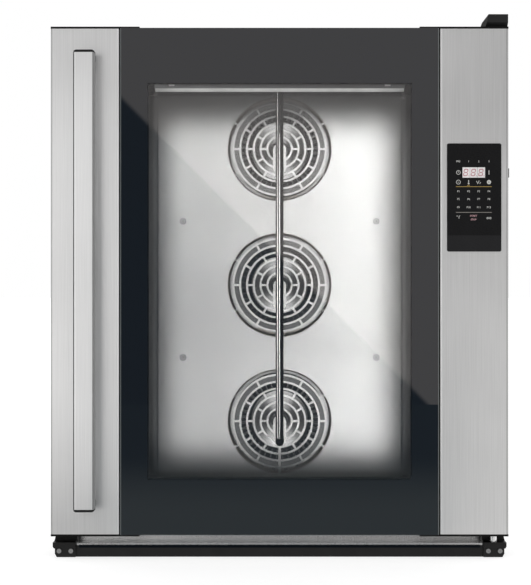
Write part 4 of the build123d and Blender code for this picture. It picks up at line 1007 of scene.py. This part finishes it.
# %% Cards that only mirrors see
def glow_card(name, corners, along, start, end, first, last):
    """The colour is first before start and last after end, measured along a direction."""
    finish = bpy.data.materials.new(name)
    finish.use_nodes = True
    tree = finish.node_tree
    tree.nodes.clear()
    place = add(tree, "TexCoord")
    measure = add(tree, "VectorMath", {"operation": "DOT_PRODUCT"})
    measure.inputs[1].default_value = along
    step = add(tree, "MapRange", SMOOTH_STEP, From_Min=start, From_Max=end)
    blend = add(tree, "Mix", {"data_type": "RGBA"})
    blend.inputs[COLOUR_A].default_value = (*first, 1)
    blend.inputs[COLOUR_B].default_value = (*last, 1)
    glow = add(tree, "Emission", Strength=1.0)
    out = add(tree, "OutputMaterial")
    tree.links.new(place.outputs["Object"], measure.inputs[0])
    tree.links.new(measure.outputs["Value"], step.inputs["Value"])
    tree.links.new(step.outputs["Result"], blend.inputs["Factor"])
    tree.links.new(blend.outputs[COLOUR_OUT], glow.inputs["Color"])
    tree.links.new(glow.outputs["Emission"], out.inputs["Surface"])
    finish.cycles.emission_sampling = "NONE"
    card = stage_sheet(name, corners, finish)
    card.visible_camera = False
    card.visible_diffuse = False
    card.visible_shadow = False


# %% Board and wings, behind the camera
CARD_Y, CARD_FOOT, BOARD_TOP, WING_TOP = -4.2, -0.7, 1.7, 3.6
BOARD_HALF, WING = 0.66, 2.6
MIRROR = 1 + (DOOR_FACE * mm - CARD_Y) / CAMERA_DISTANCE  # door to card, as the glass shows it
UP, BACK = (0, 0, 1), (0, 1, 0)
SLANT = (math.sqrt(0.5), 0, math.sqrt(0.5))
SLANT_RISE = 0.0514  # where the glass shows the board's edge at x = 0, above the camera
EDGE = (MIDDLE * mm + SLANT_RISE * MIRROR) / math.sqrt(2)
SOFTNESS = 0.012


def upright_card(x0, x1, top, foot=CARD_FOOT, y=CARD_Y):
    """Corners of a card that faces the oven; most stand behind the camera."""
    return [(x0, y, foot), (x1, y, foot), (x1, y, top), (x0, y, top)]


glow_card(
    "slanted_board", upright_card(-BOARD_HALF, BOARD_HALF, BOARD_TOP), SLANT,
    EDGE - SOFTNESS, EDGE + SOFTNESS, (0.10, 0.12, 0.145), (0.65, 0.625, 0.62),
)
glow_card(
    "left_wing", upright_card(-WING, -BOARD_HALF, WING_TOP), UP,
    0.1, 1.5, (2.10, 2.07, 2.03), even(0.06),
)
glow_card(
    "right_wing", upright_card(BOARD_HALF, WING, WING_TOP), UP,
    0.0, 1.4, (1.02, 1.01, 0.99), even(0.16),
)
print("the cards are shown", round(MIRROR, 2), "times the door's size")

# %% Cards on the floor, which the lower glass and steel show
GROUND_NEAR, GROUND_Z = -0.45, 0.002
NEAR_MIRROR = 1 + (DOOR_FACE * mm - GROUND_NEAR) / CAMERA_DISTANCE
NEAR_HALF = BOARD_HALF / MIRROR * NEAR_MIRROR  # under the board, as the glass shows it


def ground_card(name, far, near, start, end, first, last):
    """A card on the floor, from x to x at its far end, by the camera, and at the oven."""
    corners = [(x, CARD_Y, GROUND_Z) for x in far]
    corners += [(x, GROUND_NEAR, GROUND_Z) for x in near[::-1]]
    glow_card(name, corners, BACK, start, end, first, last)


ground_card(
    "ground_middle", (-BOARD_HALF, BOARD_HALF), (-NEAR_HALF, NEAR_HALF),
    -2.2, -0.9, (0.12, 0.145, 0.17), (0.31, 0.35, 0.36),
)
ground_card(
    "ground_left", (-WING, -BOARD_HALF), (-WING, -NEAR_HALF),
    -2.0, -0.6, (1.55, 1.52, 1.50), even(0.22),
)
ground_card(
    "ground_right", (BOARD_HALF, WING), (NEAR_HALF, WING),
    -2.0, -0.6, (1.00, 0.98, 0.96), (0.80, 0.79, 0.78),
)
print("floor cards reach from", CARD_Y, "to", GROUND_NEAR)

# %% A black flag behind the top bracket, so that its edge stands out dark
FLAG_Y = 0.5
flag = upright_card(0.10, 0.36, top=1.15, foot=0.925, y=FLAG_Y)
glow_card("black_flag", flag, UP, 0.0, 1.0, even(0), even(0))
print("the flag stands", FLAG_Y, "m behind the middle")

# %% [markdown]
# ## Lamps
#
# A soft key lamp left of the camera lights the handle's bar and gives it its shadow. It
# stands just far enough aside for the glass not to mirror it.


# %% The key lamp
def new_lamp(name, kind, power):
    """A lamp of a kind; its power is in watts, or in watts a square metre for a far one."""
    light = bpy.data.lights.new(name, kind)
    light.energy = power
    lamp = bpy.data.objects.new(name, light)
    scene.collection.objects.link(lamp)
    return lamp, light


def aim(lamp, direction):
    """Turns the lamp so that it shines along a direction."""
    lamp.rotation_euler = Vector(direction).to_track_quat("-Z", "Y").to_euler()


KEY_PLACE, KEY_TARGET = Vector((-0.82, -3.1, 1.0)), Vector((0, -0.35, 0.5))
key_lamp, key_light = new_lamp("key_lamp", "AREA", 1.4)
key_light.shape = "SQUARE"
key_light.size = 0.5
key_lamp.location = KEY_PLACE
aim(key_lamp, KEY_TARGET - KEY_PLACE)
print("key lamp at", tuple(key_lamp.location))

# %% [markdown]
# ## Light in the cavity
#
# The baffle shines evenly in the middle and falls off into the dark near the window's
# edges. A nearly parallel beam the size of the bright field does this: it spreads just
# enough to soften its edges, and leaves the side walls dark. Smaller fields on top of it
# make the baffle's right and upper parts brighter. Each beam has a plane of its own, for
# lamps that lie one in another lose light.

# %% Beams on the baffle
LEFT, RIGHT, FOOT, TOP = -0.233, 0.226, 0.130, 0.813
FIELDS = [  # left, right, foot and top of a bright field, and what it adds to the baffle's tone
    (LEFT, RIGHT, FOOT, TOP, 0.40),
    (-0.10, RIGHT, FOOT, TOP, 0.06),
    (0.01, RIGHT, FOOT, TOP, 0.08),
    (0.10, RIGHT, FOOT, TOP, 0.11),
    (0.16, RIGHT, FOOT, TOP, 0.07),
    (0.05, RIGHT, 0.38, TOP, 0.065),
    (LEFT, RIGHT, 0.53, TOP, 0.06),
    (LEFT, RIGHT, 0.66, TOP, 0.09),
    (LEFT, RIGHT, FOOT, 0.32, 0.04),
    (0.08, RIGHT, FOOT, 0.32, 0.05),
]
TONE_POWER = 1.6  # watts a square metre for a tone of one
BEAM_SPREAD = math.radians(16.5)
BEAM_Y, BEAM_STEP = -0.2, 0.004


def beam(name, y, left, right, foot, top, tone):
    """A rectangular light whose rays leave within a narrow cone towards the back."""
    width, height = right - left, top - foot
    lamp, light = new_lamp(name, "AREA", TONE_POWER * tone * width * height)
    light.shape = "RECTANGLE"
    light.size, light.size_y = width, height
    light.spread = BEAM_SPREAD
    lamp.location = ((left + right) / 2, y, (foot + top) / 2)
    lamp.rotation_euler = (-math.pi / 2, 0, math.pi)


for number, field in enumerate(FIELDS):
    beam(f"beam_{number}", BEAM_Y - BEAM_STEP * number, *field)
print("beams:", len(FIELDS))

# %% [markdown]
# ## Light on the wheels and on the tube
#
# A dished disc mirrors light that comes from above on its upper side and light from below
# on its lower side, so two bright sectors show, above and below its hub. The upright tube
# shows a bright line for each lamp beside it. A far lamp gives each of these its own
# light: it lights only the pieces it is meant for, and only the flag could shade them.


# %% Far lamps
def far_lamp(name, aside, up, angle, power, pieces):
    """Light from aside (degrees right of the camera) and up, as wide as the angle, on
    these pieces alone."""
    lamp, light = new_lamp(name, "SUN", power)
    light.angle = math.radians(angle)
    across, above = math.radians(aside), math.radians(up)
    flat = math.cos(above)
    source = Vector((math.sin(across) * flat, -math.cos(across) * flat, math.sin(above)))
    aim(lamp, -source)
    shown = bpy.data.collections.new(name + "_on")
    for piece in pieces:
        shown.objects.link(piece)
    shading = bpy.data.collections.new(name + "_behind")
    shading.objects.link(bpy.data.objects["black_flag"])
    lamp.light_linking.receiver_collection = shown
    lamp.light_linking.blocker_collection = shading


wheels = [nodes["impeller_" + level] for level in ("bottom", "middle", "top")]
far_lamp("disc_above", 0, 57, 40, 8.0, wheels)
far_lamp("disc_below", 0, -57, 40, 10.0, wheels)
far_lamp("tube_side", -66, 0, 8, 1.0, [nodes["humidity_tube"]])
far_lamp("door_fill", 24, 0, 20, 0.15, [nodes["door_left_profile"]])
print("wheels with a light of their own:", len(wheels))
